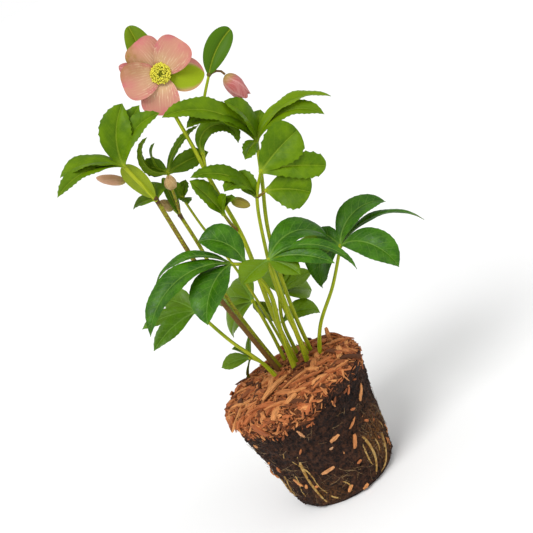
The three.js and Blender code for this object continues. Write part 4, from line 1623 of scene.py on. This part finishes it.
@dataclass(frozen=True)
class Sunflower:
    """Small shapes that leave a disc in a seed head's spiral, tilting out towards its edge.

    Its radii and height are metres and its tilts radians. jitter is how far a tilt strays, and smallest
    the smallest size as a share of the largest.
    """

    name: str
    finish: Finish
    count: int
    inner: float
    outer: float
    tilt_inner: float
    tilt_outer: float
    height: float
    jitter: float = 0.12
    smallest: float = 0.86

    def grow(self, shapes: bpy.types.Collection) -> Thing:
        """Set the shapes round the disc.

        Args:
            shapes: the shapes to choose from, standing along Z.

        Returns:
            The shapes as one piece, with the disc's middle at the origin.
        """
        tree = Tree(self.name, Count=self.count, Inner=self.inner, Outer=self.outer,
                    TiltInner=self.tilt_inner, TiltOuter=self.tilt_outer, Height=self.height)
        source = tree.source
        index = tree.add("GeometryNodeInputIndex")[0]
        share = tree.math("SQRT", tree.math("DIVIDE", tree.plus(index, 0.5), source["Count"]))
        turn = tree.times(index, GOLDEN_TURN)
        radius = self._between(tree, share, "Inner", "Outer")
        jitter = tree.random("FLOAT", Min=-self.jitter, Max=self.jitter, Seed=3)
        tilt = tree.plus(self._between(tree, share, "TiltInner", "TiltOuter"), jitter)
        east, north = tree.math("COSINE", turn), tree.math("SINE", turn)
        at = tree.vector(tree.times(east, radius), tree.times(north, radius), source["Height"])
        out = tree.math("SINE", tilt)
        towards = tree.vector(tree.times(east, out), tree.times(north, out), tree.math("COSINE", tilt))
        points = tree.add("GeometryNodePoints", Count=source["Count"], Position=at)[0]
        aimed = tree.add("FunctionNodeAlignRotationToVector", {"axis": "Z"}, Vector=towards)[0]
        size = tree.random("FLOAT", Min=self.smallest, Max=1.0, Seed=5)
        tree.end(tree.set_out(points, shapes, aimed, size), self.finish)
        start = add_object(self.name + "_start", bpy.data.meshes.new(self.name + "_start"))
        piece = tree.grow(start, self.name)
        bpy.data.objects.remove(start)
        return piece

    @staticmethod
    def _between(tree: Tree, share: Socket, low: str, high: str) -> Socket:
        """The value a share of the way from one named input to another."""
        span = tree.minus(tree.source[high], tree.source[low])
        return tree.plus(tree.source[low], tree.times(share, span))


def splinter(length: float, width: float, thickness: float, stations: int, draw: random.Random) -> Shape:
    """A splinter of bark along X, ragged at its ends.

    Args:
        length: its length in millimetres.
        width: its widest width.
        thickness: its thickness in the middle.
        stations: how many cross-sections it has.
        draw: its random numbers.

    Returns:
        Its points in metres and its faces.
    """
    points = []
    bow = draw.uniform(-0.06, 0.1) * length
    for i in range(stations):
        share = i / (stations - 1)
        at_end = i in (0, stations - 1)
        swell = (0.45 + 0.55 * sin(pi * (0.12 + 0.76 * share))) * draw.uniform(0.8, 1.1)
        left, right = width / 2 * swell, -width / 2 * swell * draw.uniform(0.7, 1.05)
        thick = thickness / 2 * (0.4 + 0.6 * sin(pi * (0.1 + 0.8 * share)))
        rise = bow * sin(pi * share)
        for y, up in ((left, 1), (left, -1), (right, -1), (right, 1)):
            x = length * (share - 0.5) + draw.uniform(-0.09, 0.09) * length * at_end
            points.append(Vector((x, y, rise + thick * up * draw.uniform(0.7, 1.2))) * MM)
    return points, tube_faces(stations, 4)


def crumb(draw: random.Random) -> Shape:
    """A crumb of peat about a millimetre across: an uneven lump of two rings and two poles.

    Args:
        draw: its random numbers.

    Returns:
        Its points in metres and its faces.
    """
    sides = 5
    points = [Vector((0, 0, -0.4))]
    for height, radius in ((-0.2, 0.42), (0.22, 0.46)):
        for k in range(sides):
            points.append(polar(2 * pi * (k + height) / sides, radius * draw.uniform(0.7, 1.25),
                                height * draw.uniform(0.6, 1.4)))
    points.append(Vector((0, 0, 0.45 * draw.uniform(0.7, 1.2))))
    corners = [(k, (k + 1) % sides) for k in range(sides)]
    faces = [(0, 1 + b, 1 + a) for a, b in corners]
    faces += [(1 + a, 1 + b, 1 + sides + b, 1 + sides + a) for a, b in corners]
    faces += [(1 + 2 * sides, 1 + sides + a, 1 + sides + b) for a, b in corners]
    return [p * MM for p in points], faces


def hair(length: float, radius: float, draw: random.Random) -> Shape:
    """A hair root that winds along X, three-sided.

    Args:
        length: its length in millimetres.
        radius: its radius in millimetres.
        draw: its random numbers.

    Returns:
        Its points in metres and its faces.
    """
    points = []
    steps, sides = 6, 3
    y, slope = 0.0, draw.uniform(-0.5, 0.5)
    for i in range(steps + 1):
        share = i / steps
        slope += draw.uniform(-0.5, 0.5)
        y += slope * length / steps * 0.6
        sink = -0.35 * cos(2 * pi * share) - 0.15
        for k in range(sides):
            turn = 2 * pi * k / sides
            points.append(Vector((length * (share - 0.5), y + radius * cos(turn),
                                  sink + radius * sin(turn))) * MM)
    return points, tube_faces(steps + 1, sides)


# ---- The root ball and its mulch ----

@dataclass(frozen=True)
class LooseChip:
    """A chip set by itself: where its middle lies, how it is turned, its size in millimetres and its tone."""

    at: Vector
    normal: Triple
    spin: float
    length: float
    width: float
    tone: float
    thickness: float = 1.6


class ChipPile:
    """Single chips gathered into one piece."""

    stations = 8

    def __init__(self, seed: int) -> None:
        """Start with nothing."""
        self.draw = random.Random(seed)
        self.points: list[Vector] = []
        self.faces: list[tuple[int, ...]] = []
        self.grain: list[Vector] = []
        self.tone: list[Triple] = []

    def add(self, chip: LooseChip) -> None:
        """Add a chip, its length across its normal and spun from the level.

        Args:
            chip: the chip.
        """
        points, faces = splinter(chip.length, chip.width, chip.thickness, self.stations, self.draw)
        normal = Vector(chip.normal).normalized()
        level = Vector((0, 0, 1)).cross(normal)
        level = level.normalized() if level.length > 0.1 else Vector((1, 0, 0))
        axes = Matrix((level, normal.cross(level), normal)).transposed()
        spun = axes @ Matrix.Rotation(radians(chip.spin), 3, "Z")
        start = len(self.points)
        self.points += [spun @ point + chip.at * MM for point in points]
        self.grain += points
        self.tone += [(chip.tone, 0.0, 0.0)] * len(points)
        self.faces += [tuple(start + k for k in face) for face in faces]

    def piece(self, name: str) -> Thing:
        """Make the pile's object.

        Args:
            name: its name.

        Returns:
            The object.
        """
        mesh = bpy.data.meshes.new(name)
        mesh.from_pydata(self.points, [], self.faces)
        store(mesh, "grain", self.grain)
        store(mesh, "tone", self.tone)
        mesh.materials.append(Finish.BARK.made())
        return outwards(add_object(name, mesh))


def crumbly(point: Vector) -> float:
    """How far a crumbly surface stands out.

    Args:
        point: where, in millimetres.

    Returns:
        Millimetres, slow swells and quick crumbs together.
    """
    slow = noise.fractal(point / 14, 0.7, 2.1, 3)
    quick = noise.fractal(point / 2.6 + Vector((9, 4, 2)), 0.6, 2.2, 3)
    return 1.6 * slow + 0.9 * quick


@dataclass(frozen=True)
class RootBall:
    """The pot-shaped block of peat with roots, bark and crumbs on its side."""

    foot_radius: float = 45.0
    top_radius: float = 59.0
    height: float = 88.0
    foot_round: float = 5.0
    foot_inset: float = 2.6
    around: int = 260
    up: int = 84
    seed: int = 41

    # Chips caught in the side: bearing, height, spin, length, width and tone.
    caught: tuple[tuple[float, ...], ...] = (
        (-81.5, 59.5, 12, 10, 3.4, 0.9), (-67, 46, 66, 14, 3.4, 0.62), (-100, 35.5, 8, 14, 2.6, 0.92),
        (-40, 74.5, 42, 15, 3.6, 0.86), (-91, 10.5, 44, 8, 3.2, 0.7), (-77, 4.5, 20, 7, 3.0, 0.75),
        (-103, 78, -70, 9, 2.2, 0.95), (-61.5, 60.5, 33, 11, 1.5, 0.6), (-88, 52.5, 10, 4, 1.6, 1.0),
        (-18, 12, 60, 10, 3.0, 0.6), (-12, 22, 75, 9, 3.4, 0.7), (-72, 28, 15, 5, 1.8, 0.5),
        (-56, 70, -20, 6, 2.0, 0.45), (-112, 62, 50, 6, 1.6, 0.5), (-47, 52, -35, 6, 2.2, 0.42))
    caught_behind: int = 26

    # Thick roots: the bearings and heights that each one passes, and its radius.
    roots: tuple[tuple[tuple[tuple[float, float], ...], float], ...] = (
        (((-118, 58), (-120.5, 44), (-122, 29), (-122, 13), (-121, 5)), 1.35),
        (((-58, 46), (-55, 35), (-54, 20), (-59, 9), (-64, 3.5)), 1.25),
        (((-60, 38), (-61, 25), (-60, 12)), 0.9),
        (((-32, 46), (-24, 34), (-17, 24)), 0.55),
        (((-12, 40), (-4, 26), (-6, 14)), 0.5),
        (((-26, 30), (-33, 17), (-44, 7), (-56, 3)), 1.0),
        (((-117, 15), (-110, 8), (-103, 4)), 1.0),
        (((-124, 72), (-128, 63), (-134, 55)), 0.6),
        (((-31, 30), (-33, 22), (-36, 12)), 0.9),
        (((-48, 40), (-44, 26), (-47, 10)), 0.7),
        (((-96, 22), (-90, 14), (-92, 5)), 0.6))
    roots_behind: int = 17
    root_proud: float = 0.15
    root_sunk: float = 1.2

    def radius(self, z: float) -> float:
        """The ball's plain radius at a height."""
        plain = lerp(self.foot_radius, self.top_radius, z / self.height)
        return plain - self.foot_inset * (1 - ease(0, self.foot_round, z))

    def surface(self, turn: float, z: float) -> Vector:
        """A point on the crumbly side, at a turn and a height."""
        plain = polar(turn, self.radius(z), z)
        return polar(turn, self.radius(z) + crumbly(plain) * ease(0, 3, z), z)

    @staticmethod
    def patch(turn: float, z: float, bearing: float, height: float, wide: float, tall: float) -> float:
        """A soft patch round a bearing and a height, so many degrees wide and millimetres tall."""
        off = (degrees(turn) - bearing + 180) % 360 - 180
        return exp(-(off / wide) ** 2 - ((z - height) / tall) ** 2)

    def bark_share(self, turn: float, z: float) -> float:
        """How much bark hangs over the side, which reaches lowest at the front left."""
        depth = lerp(1, 6, self.patch(turn, z, -150, z, 50, 1)) + 2 * sin(3 * turn + 1)
        depth += 1.5 * sin(11 * turn)
        return ease(self.height - depth - 4, self.height - depth + 4, z)

    def build(self) -> None:
        """Make the peat, its crumbs, its hair roots, its bark and its thick roots."""
        body = self._peat()
        settle(body, "soil", "root_ball")
        draw = random.Random(self.seed)
        crumbs, hairs, chips = Stock("crumbs"), Stock("hairs"), Stock("chips")
        for i in range(5):
            crumbs.keep(f"crumb_{i}", *crumb(draw))
            hairs.keep(f"hair_{i}", *hair(draw.uniform(6, 12), draw.uniform(0.11, 0.2), draw))
            chips.keep(f"bit_{i}", *splinter(draw.uniform(3.5, 7), draw.uniform(1.2, 2.4), 0.9, 5, draw))
        Strewn("peat_crumbs", Finish.PEAT, 105000.0, 0.8, 2.1, seed=3, tilt=0.8).lay(
            body, crumbs, "soil", self._crumb_cover)
        Strewn("hair_roots", Finish.ROOTLET, 36000.0, 0.6, 1.15, seed=5, tilt=0.25, lift=0.0004).lay(
            body, hairs, "soil", self._hair_cover)
        Strewn("bark_bits", Finish.BARK, 90000.0, 0.4, 1.05, seed=8, tilt=0.4, lift=0.0002).lay(
            body, chips, "bark", self._bark_cover)
        self._side_chips()
        self._thick_roots()

    def _crumb_cover(self, point: Vector, _: Vector) -> float:
        """Crumbs cover the side, short of its foot and its top."""
        return ease(1.5, 4, point.z) * (point.z < self.height - 2)

    def _hair_cover(self, point: Vector, _: Vector) -> float:
        """Hair roots lie in cloudy patches, clear of the foot."""
        cloud = ease(-0.25, 0.3, noise.noise(point / 16))
        return ease(13, 17, point.z) * (point.z < self.height - 8) * cloud

    def _bark_cover(self, point: Vector, _: Vector) -> float:
        """Bark hangs over the top edge, and a little clings all over."""
        return (0.009 + self.bark_share(atan2(point.y, point.x), point.z)) * ease(7, 9, point.z)

    def _values(self, turn: float, z: float) -> Triple:
        """What the peat carries.

        Args:
            turn: where it is looked up, in radians.
            z: the height there.

        Returns:
            How much of it is brown crumb, wet, and gold with roots.
        """
        wet = self.patch(turn, z, -52, 80, 20, 14) + 0.8 * self.patch(turn, z, -118, 80, 30, 7)
        golden = self.patch(turn, z, -38, 32, 20, 22) + 0.5 * self.patch(turn, z, -112, 12, 18, 12)
        golden += 0.6 * self.patch(turn, z, 100, 30, 45, 20)
        return self.bark_share(turn, z), min(1.0, wet), min(1.0, golden)

    def _peat(self) -> Thing:
        """Make the crumbly block.

        Returns:
            The piece.
        """
        rings = [ring(self.around, share * self.radius(0), 0, place=(0, 0.3, 0.2))
                 for share in (0.03, 0.5, 0.9)]
        turns = [2 * pi * k / self.around for k in range(self.around)]
        for i in range(self.up + 1):
            z = self.height * (i / self.up) ** 1.1
            rings.append([Spot(self.surface(turn, z), place=self._values(turn, z)) for turn in turns])
        rim = rings[-1]
        for share in (0.6, 0.05):
            rings.append([Spot(Vector((s.at.x * share, s.at.y * share, self.height)), place=s.place)
                          for s in rim])
        shell = Shell()
        shell.tube(rings, 0)
        return shell.piece("peat_block", (Finish.PEAT,), crease=80)

    def _side_chips(self) -> None:
        """Set the larger chips that are caught in the side."""
        pile, draw = ChipPile(17), random.Random(29)
        behind = [(30 + i * 8.5 + draw.uniform(-4, 4), draw.uniform(9, 78), draw.uniform(-80, 80),
                   draw.uniform(5, 13), draw.uniform(1.8, 3.6), draw.uniform(0.4, 0.95))
                  for i in range(self.caught_behind)]
        for bearing, z, spin, length, width, tone in (*self.caught, *behind):
            turn = radians(bearing)
            at = self.surface(turn, z) + polar(turn, 0.5, 0)
            normal = (cos(turn), sin(turn), -0.15)
            pile.add(LooseChip(at, normal, spin, 0.85 * length, width, tone + 0.15))
        settle(pile.piece("caught_chips"), "bark")

    def _thick_roots(self) -> None:
        """Lay the thick roots along the side, half sunk, with their ends in the peat."""
        shell, draw = Shell(), random.Random(53)
        roots = list(self.roots)
        for i in range(self.roots_behind):
            bearing, high = 20 + i * 13.5 + draw.uniform(-5, 5), draw.uniform(26, 66)
            lean = draw.uniform(-12, 12)
            route = tuple((bearing + lean * k + draw.uniform(-3, 3), lerp(high, draw.uniform(3, 12), k / 3))
                          for k in range(4))
            roots.append((route, draw.uniform(0.5, 1.25)))
        for i, (route, radius) in enumerate(roots):
            points = []
            for k, (bearing, z) in enumerate(route):
                turn, at_end = radians(bearing), k in (0, len(route) - 1)
                out = -self.root_sunk if at_end else self.root_proud
                points.append(tuple(self.surface(turn, z) + polar(turn, out, 0)))
            Stalk(tuple(points), radius, 0.55 * radius, sides=7, step=2.2, ridge=0.1).add(shell, 0, 0.1 * i)
        settle(shell.piece("thick_roots", (Finish.ROOT,)), "soil")


@dataclass(frozen=True)
class BarkMulch:
    """The layer of shredded bark on the root ball."""

    radius: float = 62.0
    underside: float = 88.3
    rim: float = 99.0
    crown: float = 104.0
    around: int = 180
    steps: int = 22
    seed: int = 11
    rim_chips: int = 34

    # Chips that catch the eye: x, y, bearing, length, width and tone.
    chips: tuple[tuple[float, ...], ...] = (
        (-14, -15, 36, 31, 6.6, 0.93), (26, -14, -8, 22, 6.4, 0.58), (45, -12, 4, 21, 6.2, 0.97),
        (4, -20, 22, 27, 3.2, 0.8), (12, -28, -12, 24, 3.0, 0.6), (-50, -6, 52, 16, 3.8, 0.85),
        (-40, -18, 60, 15, 3.4, 0.7), (-33, -30, 40, 17, 3.2, 0.55), (-20, -42, 10, 18, 3.4, 0.75),
        (0, -40, -18, 16, 3.2, 0.85), (20, -45, 5, 19, 3.0, 0.6), (40, -34, -30, 15, 3.6, 0.8),
        (48, 12, 70, 14, 3.8, 0.75), (30, 40, 20, 17, 3.4, 0.6), (-10, 48, -10, 18, 3.6, 0.8),
        (-38, 30, 50, 16, 3.4, 0.7))
    upright_chip: LooseChip = LooseChip(Vector((45, 33, 104.5)), (0.5, -0.85, 0.1), 72, 12, 4.2, 0.85, 1.8)

    def top(self, radius: float) -> float:
        """The plain height of the top at a radius."""
        return lerp(self.crown, self.rim, (radius / self.radius) ** 2)

    @staticmethod
    def humus(point: Vector) -> float:
        """How much black humus hides the bark at a point, most at the rim's front right."""
        outer = ease(55, 59, hypot(point.x, point.y))
        return outer * min(1.0, 1.6 * RootBall.patch(atan2(point.y, point.x), point.z, -48, 88, 38, 11))

    def build(self) -> None:
        """Make the bed and strew it with bark of three sizes, then set the largest chips."""
        bed = self._bed()
        settle(bed, "bark", "bark_mulch")
        draw = random.Random(self.seed)
        shreds, middling, large = Stock("shreds"), Stock("middling_bark"), Stock("large_bark")
        for i in range(6):
            for stock, length, width, thickness, stations in (
                    (large, (11, 21), (3.2, 6.2), 1.9, 7),
                    (middling, (6, 11), (1.5, 3.0), 1.1, 5),
                    (shreds, (3, 7), (0.6, 1.2), 0.6, 3)):
                shape = splinter(draw.uniform(*length), draw.uniform(*width), thickness, stations, draw)
                stock.keep(f"{stock.shapes.name}_{i}", *shape)
        for stock, on_side, strewn in (
                (shreds, 1.0, Strewn("bark_shreds", Finish.BARK, 210000.0, 0.7, 1.3, 21, 0.55, 0.0003)),
                (middling, 0.4, Strewn("bark_middling", Finish.BARK, 66000.0, 0.7, 1.25, 22, 0.38, 0.0005)),
                (large, 0.05, Strewn("bark_large", Finish.BARK, 10000.0, 0.75, 1.15, 23, 0.22, 0.0009))):
            strewn.lay(bed, stock, "bark", self._cover(on_side))
        self._set_chips()

    def _cover(self, on_side: float) -> Cover:
        """The cover of one size of bark.

        Args:
            on_side: how much of it stays on the bed's steep side.

        Returns:
            A function from a point and its normal to a share.
        """
        def cover(point: Vector, normal: Vector) -> float:
            """How much of the bed is covered at a point with a normal."""
            bare = 0.94 * self.humus(point)
            return ease(89, 92, point.z) * (1 - bare) * lerp(on_side, 1, ease(0.3, 0.8, normal.z))

        return cover

    def _bed(self) -> Thing:
        """Make the crumbly bed under the chips.

        Returns:
            The piece.
        """
        edge = self.radius
        profile = [(2.0, self.underside), (40, self.underside), (edge - 3.5, self.underside),
                   (edge - 1.6, self.underside + 3), (edge - 1.2, self.underside + 6),
                   (edge - 1.5, self.rim - 2.2), (edge - 3.2, self.rim - 0.6)]
        for i in range(self.steps + 1):
            inner = (edge - 4.5) * (1 - i / self.steps)
            profile.append((inner + 0.5, self.top(inner) - 0.6))
        rings = []
        for radius, z in profile:
            rough = z >= self.underside + 0.1
            side = ease(edge - 9, edge - 3, radius)
            rings.append([])
            for k in range(self.around):
                turn = 2 * pi * k / self.around
                plain = polar(turn, radius, z)
                out = crumbly(plain) * rough
                at = polar(turn, radius + out * side, z + 0.8 * out * (1 - side))
                place = (0.5 + 0.5 * noise.noise(plain / 9), 1.4 * self.humus(plain), 0.0)
                rings[-1].append(Spot(at, place=place))
        shell = Shell()
        shell.tube(rings, 0)
        return shell.piece("bark_bed", (Finish.BARK_BED,), crease=80)

    def _set_chips(self) -> None:
        """Set the chips that catch the eye at the front, and the ragged ones on the rim."""
        pile = ChipPile(19)
        for x, y, bearing, length, width, tone in self.chips:
            radius = hypot(x, y)
            slope = 2 * (self.crown - self.rim) * radius / self.radius ** 2
            at, normal = Vector((x, y, self.top(radius) + 1.9)), (x / radius * slope, y / radius * slope, 1.0)
            pile.add(LooseChip(at, normal, bearing, length, width, tone, 2.0))
        pile.add(self.upright_chip)
        draw = random.Random(37)
        for i in range(self.rim_chips):
            turn = 2 * pi * (i + 0.6 * draw.random()) / self.rim_chips
            at = polar(turn, self.radius - 0.4, draw.uniform(self.underside + 2.5, self.rim - 0.5))
            if self.humus(at) > 0.35:
                continue
            pile.add(LooseChip(at, (cos(turn), sin(turn), 0.2), draw.uniform(-55, 55),
                               draw.uniform(6, 13), draw.uniform(1.6, 3.2), draw.uniform(0.3, 1.0), 1.4))
        settle(pile.piece("set_chips"), "bark")


# ---- The bloom ----

@dataclass(frozen=True)
class Bloom:
    """The open bloom: five cupped sepals round a cone of stamens and tubular nectaries."""

    at: Triple = BLOOM_AT
    facing: Triple = BLOOM_FACING
    hub_radius: float = 3.2
    hub_thickness: float = HUB_THICKNESS
    sunk: float = HUB_SUNK
    floor: float = 0.9
    cone_foot: float = 1.8
    cone_top: float = 3.4
    cone_height: float = 2.4
    filament: float = 6.6
    sepals: tuple[Blade, ...] = (
        Blade(170, 35, 33, 29, 35, stain=0.5, lift=0.9),
        Blade(29, 35, 32, 29, 35, stain=0.15, lift=0.9),
        Blade(-120, 25, 33, 30, 30, lift=0.3),
        Blade(101, 20, 31, 29, 25, stain=-1.0),
    )
    pointed_sepal: Blade = Blade(-30, 15, 34, 27, 20, tone=0.75)

    def matrix(self) -> Matrix:
        """Where the bloom goes.

        Returns:
            The matrix from a bloom at the origin that faces +Z, with +Y up, to its place.
        """
        facing = Vector(self.facing).normalized()
        right = Vector((0, 0, 1)).cross(facing).normalized()
        turned = Matrix((right, facing.cross(right), facing)).transposed().to_4x4()
        return Matrix.Translation(Vector(self.at)) @ turned

    def build(self) -> None:
        """Make the sepals with their hub, and the middle."""
        self._sepals()
        self._cone()
        for piece in self._middle():
            piece.data.transform(Matrix.Scale(MM, 4) @ self.matrix() @ Matrix.Scale(1 / MM, 4))
            settle(outwards(piece), "stamen")

    def _sepals(self) -> None:
        """Make the sepals and the hub that they leave."""
        shell, foot_at = Shell(), Vector((0, 0, -self.sunk))
        for i, sepal in enumerate(self.sepals):
            sepal.add(shell, foot_at, Kind.SEPAL, 0, 0.23 * i)
        self.pointed_sepal.add(shell, foot_at, Kind.POINTED, 0, 0.9)
        low, high = -self.sunk - self.hub_thickness / 2, -self.sunk + self.hub_thickness / 2
        shell.tube([ring(20, self.hub_radius * grow, z, vein=(0, 0, 0.8)) for grow, z in (
            (0.7, low), (0.95, low + 0.4), (1, high - 0.5), (0.85, high))], 0)
        settle(shell.piece("bloom_sepals_fine", (Finish.SEPAL,), self.matrix()), "sepal", "bloom_sepals")

    def _cone(self) -> None:
        """Make the cone that the stamens stand on."""
        shell = Shell()
        shell.tube([ring(24, radius, self.floor + z, place=(0, 0.2, 0)) for radius, z in (
            (self.cone_foot, 0), (self.cone_foot * 1.3, self.cone_height * 0.4),
            (self.cone_top, self.cone_height * 0.85), (self.cone_top * 0.8, self.cone_height),
            (self.cone_top * 0.3, self.cone_height + 0.3))], 0)
        settle(shell.piece("bloom_cone", (Finish.NECTARY,), self.matrix()), "stamen", "bloom_centre")

    def _middle(self) -> list[Thing]:
        """Grow the stamens, the styles and the ring of nectaries, still facing up at the origin.

        Returns:
            The three pieces.
        """
        stamens, styles, cups = Stock("stamen_shape"), Stock("style_shape"), Stock("cup_shape")
        for stock, thin, head, head_length in ((stamens, 0.26, 0.74, 2.1), (styles, 0.32, 0.38, 0.8)):
            part = head_length / self.filament
            profile = [(thin, 0.0), (thin, 0.5), (thin, 1 - part), (head, 1 - 0.7 * part),
                       (head * 1.05, 1 - 0.3 * part), (head * 0.4, 1.0)]
            self._turned(stock, [(radius, share * self.filament, share) for radius, share in profile], 6)
        self._turned(cups, [(0.45, 0, 0), (0.75, 1.6, 0.3), (1.05, 3.6, 0.6), (1.15, 4.8, 0.9),
                            (0.75, 5.0, 1.0), (0.5, 3.9, 0.5)], 8)
        top, low = (self.floor + self.cone_height - 0.5) * MM, (self.floor + 0.9) * MM
        made = [
            Sunflower("stamens", Finish.STAMEN, 116, 0.3 * MM, 3.2 * MM, 0.1, 1.12, top).grow(stamens.shapes),
            Sunflower("styles", Finish.NECTARY, 5, 0.2 * MM, 0.9 * MM, 0.05, 0.3, top).grow(styles.shapes),
            Sunflower("nectaries", Finish.NECTARY, 13, 1.5 * MM, 2.2 * MM, 0.95, 1.12, low).grow(cups.shapes)]
        for stock in (stamens, styles, cups):
            stock.clear()
        return made

    @staticmethod
    def _turned(stock: Stock, profile: Sequence[Triple], sides: int) -> None:
        """Keep a shape turned about Z, from rows of radius, height and share of the length."""
        spots = [spot for radius, height, share in profile
                 for spot in ring(sides, radius, height, place=(0.0, share, 0.0))]
        stock.keep(stock.shapes.name, [spot.at * MM for spot in spots], tube_faces(len(profile), sides),
                   [spot.place for spot in spots], "place")


# ---- The studio ----

@dataclass(frozen=True)
class Studio:
    """The camera, the pale floor and the soft light."""

    target: Triple = (28.0, 0.0, 193.0)
    distance: float = 900.0
    elevation: float = 17.0
    roll: float = 29.5
    lens: float = 76.32
    floor_size: float = 400.0
    sky: float = 0.6

    def build(self) -> None:
        """Set the camera, the floor, the lamps and the sky."""
        self._camera()
        self._floor()
        self._lamp("key", (-0.45, -0.62, 1.0), softness=32.0, strength=1.9)
        self._lamp("fill", (0.9, -0.7, 0.8), softness=60.0, strength=0.5)
        self._sky()
        bpy.context.scene.view_settings.view_transform = "Standard"

    def _floor(self) -> None:
        """Lay the floor, which isn't part of the plant."""
        half = self.floor_size / 2
        mesh = bpy.data.meshes.new("floor")
        corners = [(-half, -half, 0), (half, -half, 0), (half, half, 0), (-half, half, 0)]
        mesh.from_pydata(corners, [], [(0, 1, 2, 3)])
        mesh.materials.append(Finish.FLOOR.made())
        floor = add_object("floor", mesh)

    def _sky(self) -> None:
        """Light the plant with a white sky that shows plain white."""
        world = bpy.data.worlds.new("sky")
        world.use_nodes = True
        nodes, links = world.node_tree.nodes, world.node_tree.links
        seen = nodes.new("ShaderNodeLightPath").outputs["Is Camera Ray"]
        strength = nodes.new("ShaderNodeMapRange")
        strength.inputs["To Min"].default_value = self.sky
        strength.inputs["To Max"].default_value = 1.0
        links.new(seen, strength.inputs["Value"])
        links.new(strength.outputs[0], nodes["Background"].inputs["Strength"])
        nodes["Background"].inputs["Color"].default_value = (1, 1, 1, 1)
        bpy.context.scene.world = world

    def _camera(self) -> None:
        """Set the camera, tipped about its own line of sight."""
        tilt, roll = radians(self.elevation), radians(self.roll)
        ahead = Vector((0, cos(tilt), -sin(tilt)))
        level, upright = Vector((1, 0, 0)), Vector((0, sin(tilt), cos(tilt)))
        right = level * cos(roll) - upright * sin(roll)
        up = level * sin(roll) + upright * cos(roll)
        data = bpy.data.cameras.new("camera")
        data.lens = self.lens
        data.sensor_width = 36.0
        camera = add_object("camera", data)
        place = (Vector(self.target) - ahead * self.distance) * MM
        camera.matrix_world = Matrix.Translation(place) @ Matrix((right, up, -ahead)).transposed().to_4x4()
        bpy.context.scene.camera = camera

    @staticmethod
    def _lamp(name: str, towards: Triple, softness: float, strength: float) -> None:
        """Light the scene evenly from far away.

        Args:
            name: the lamp's name.
            towards: which way it lies.
            softness: how wide it looks, in degrees.
            strength: how bright it is.
        """
        data = bpy.data.lights.new(name, "SUN")
        data.angle = radians(softness)
        data.energy = strength
        lamp = add_object(name, data)
        lamp.location = towards
        lamp.rotation_euler = Vector(towards).to_track_quat("Z", "Y").to_euler()


def main() -> None:
    """Build the studio and the plant."""
    logging.basicConfig(level=logging.INFO, format="%(name)s %(message)s")
    Studio().build()
    RootBall().build()
    BarkMulch().build()
    for i, stem in enumerate((*LEAVES, *FLOWER_STEMS)):
        stem.build(0.17 * i)
    for bud in BUDS:
        bud.build()
    Bloom().build()


if __name__ == "__main__":
    main()
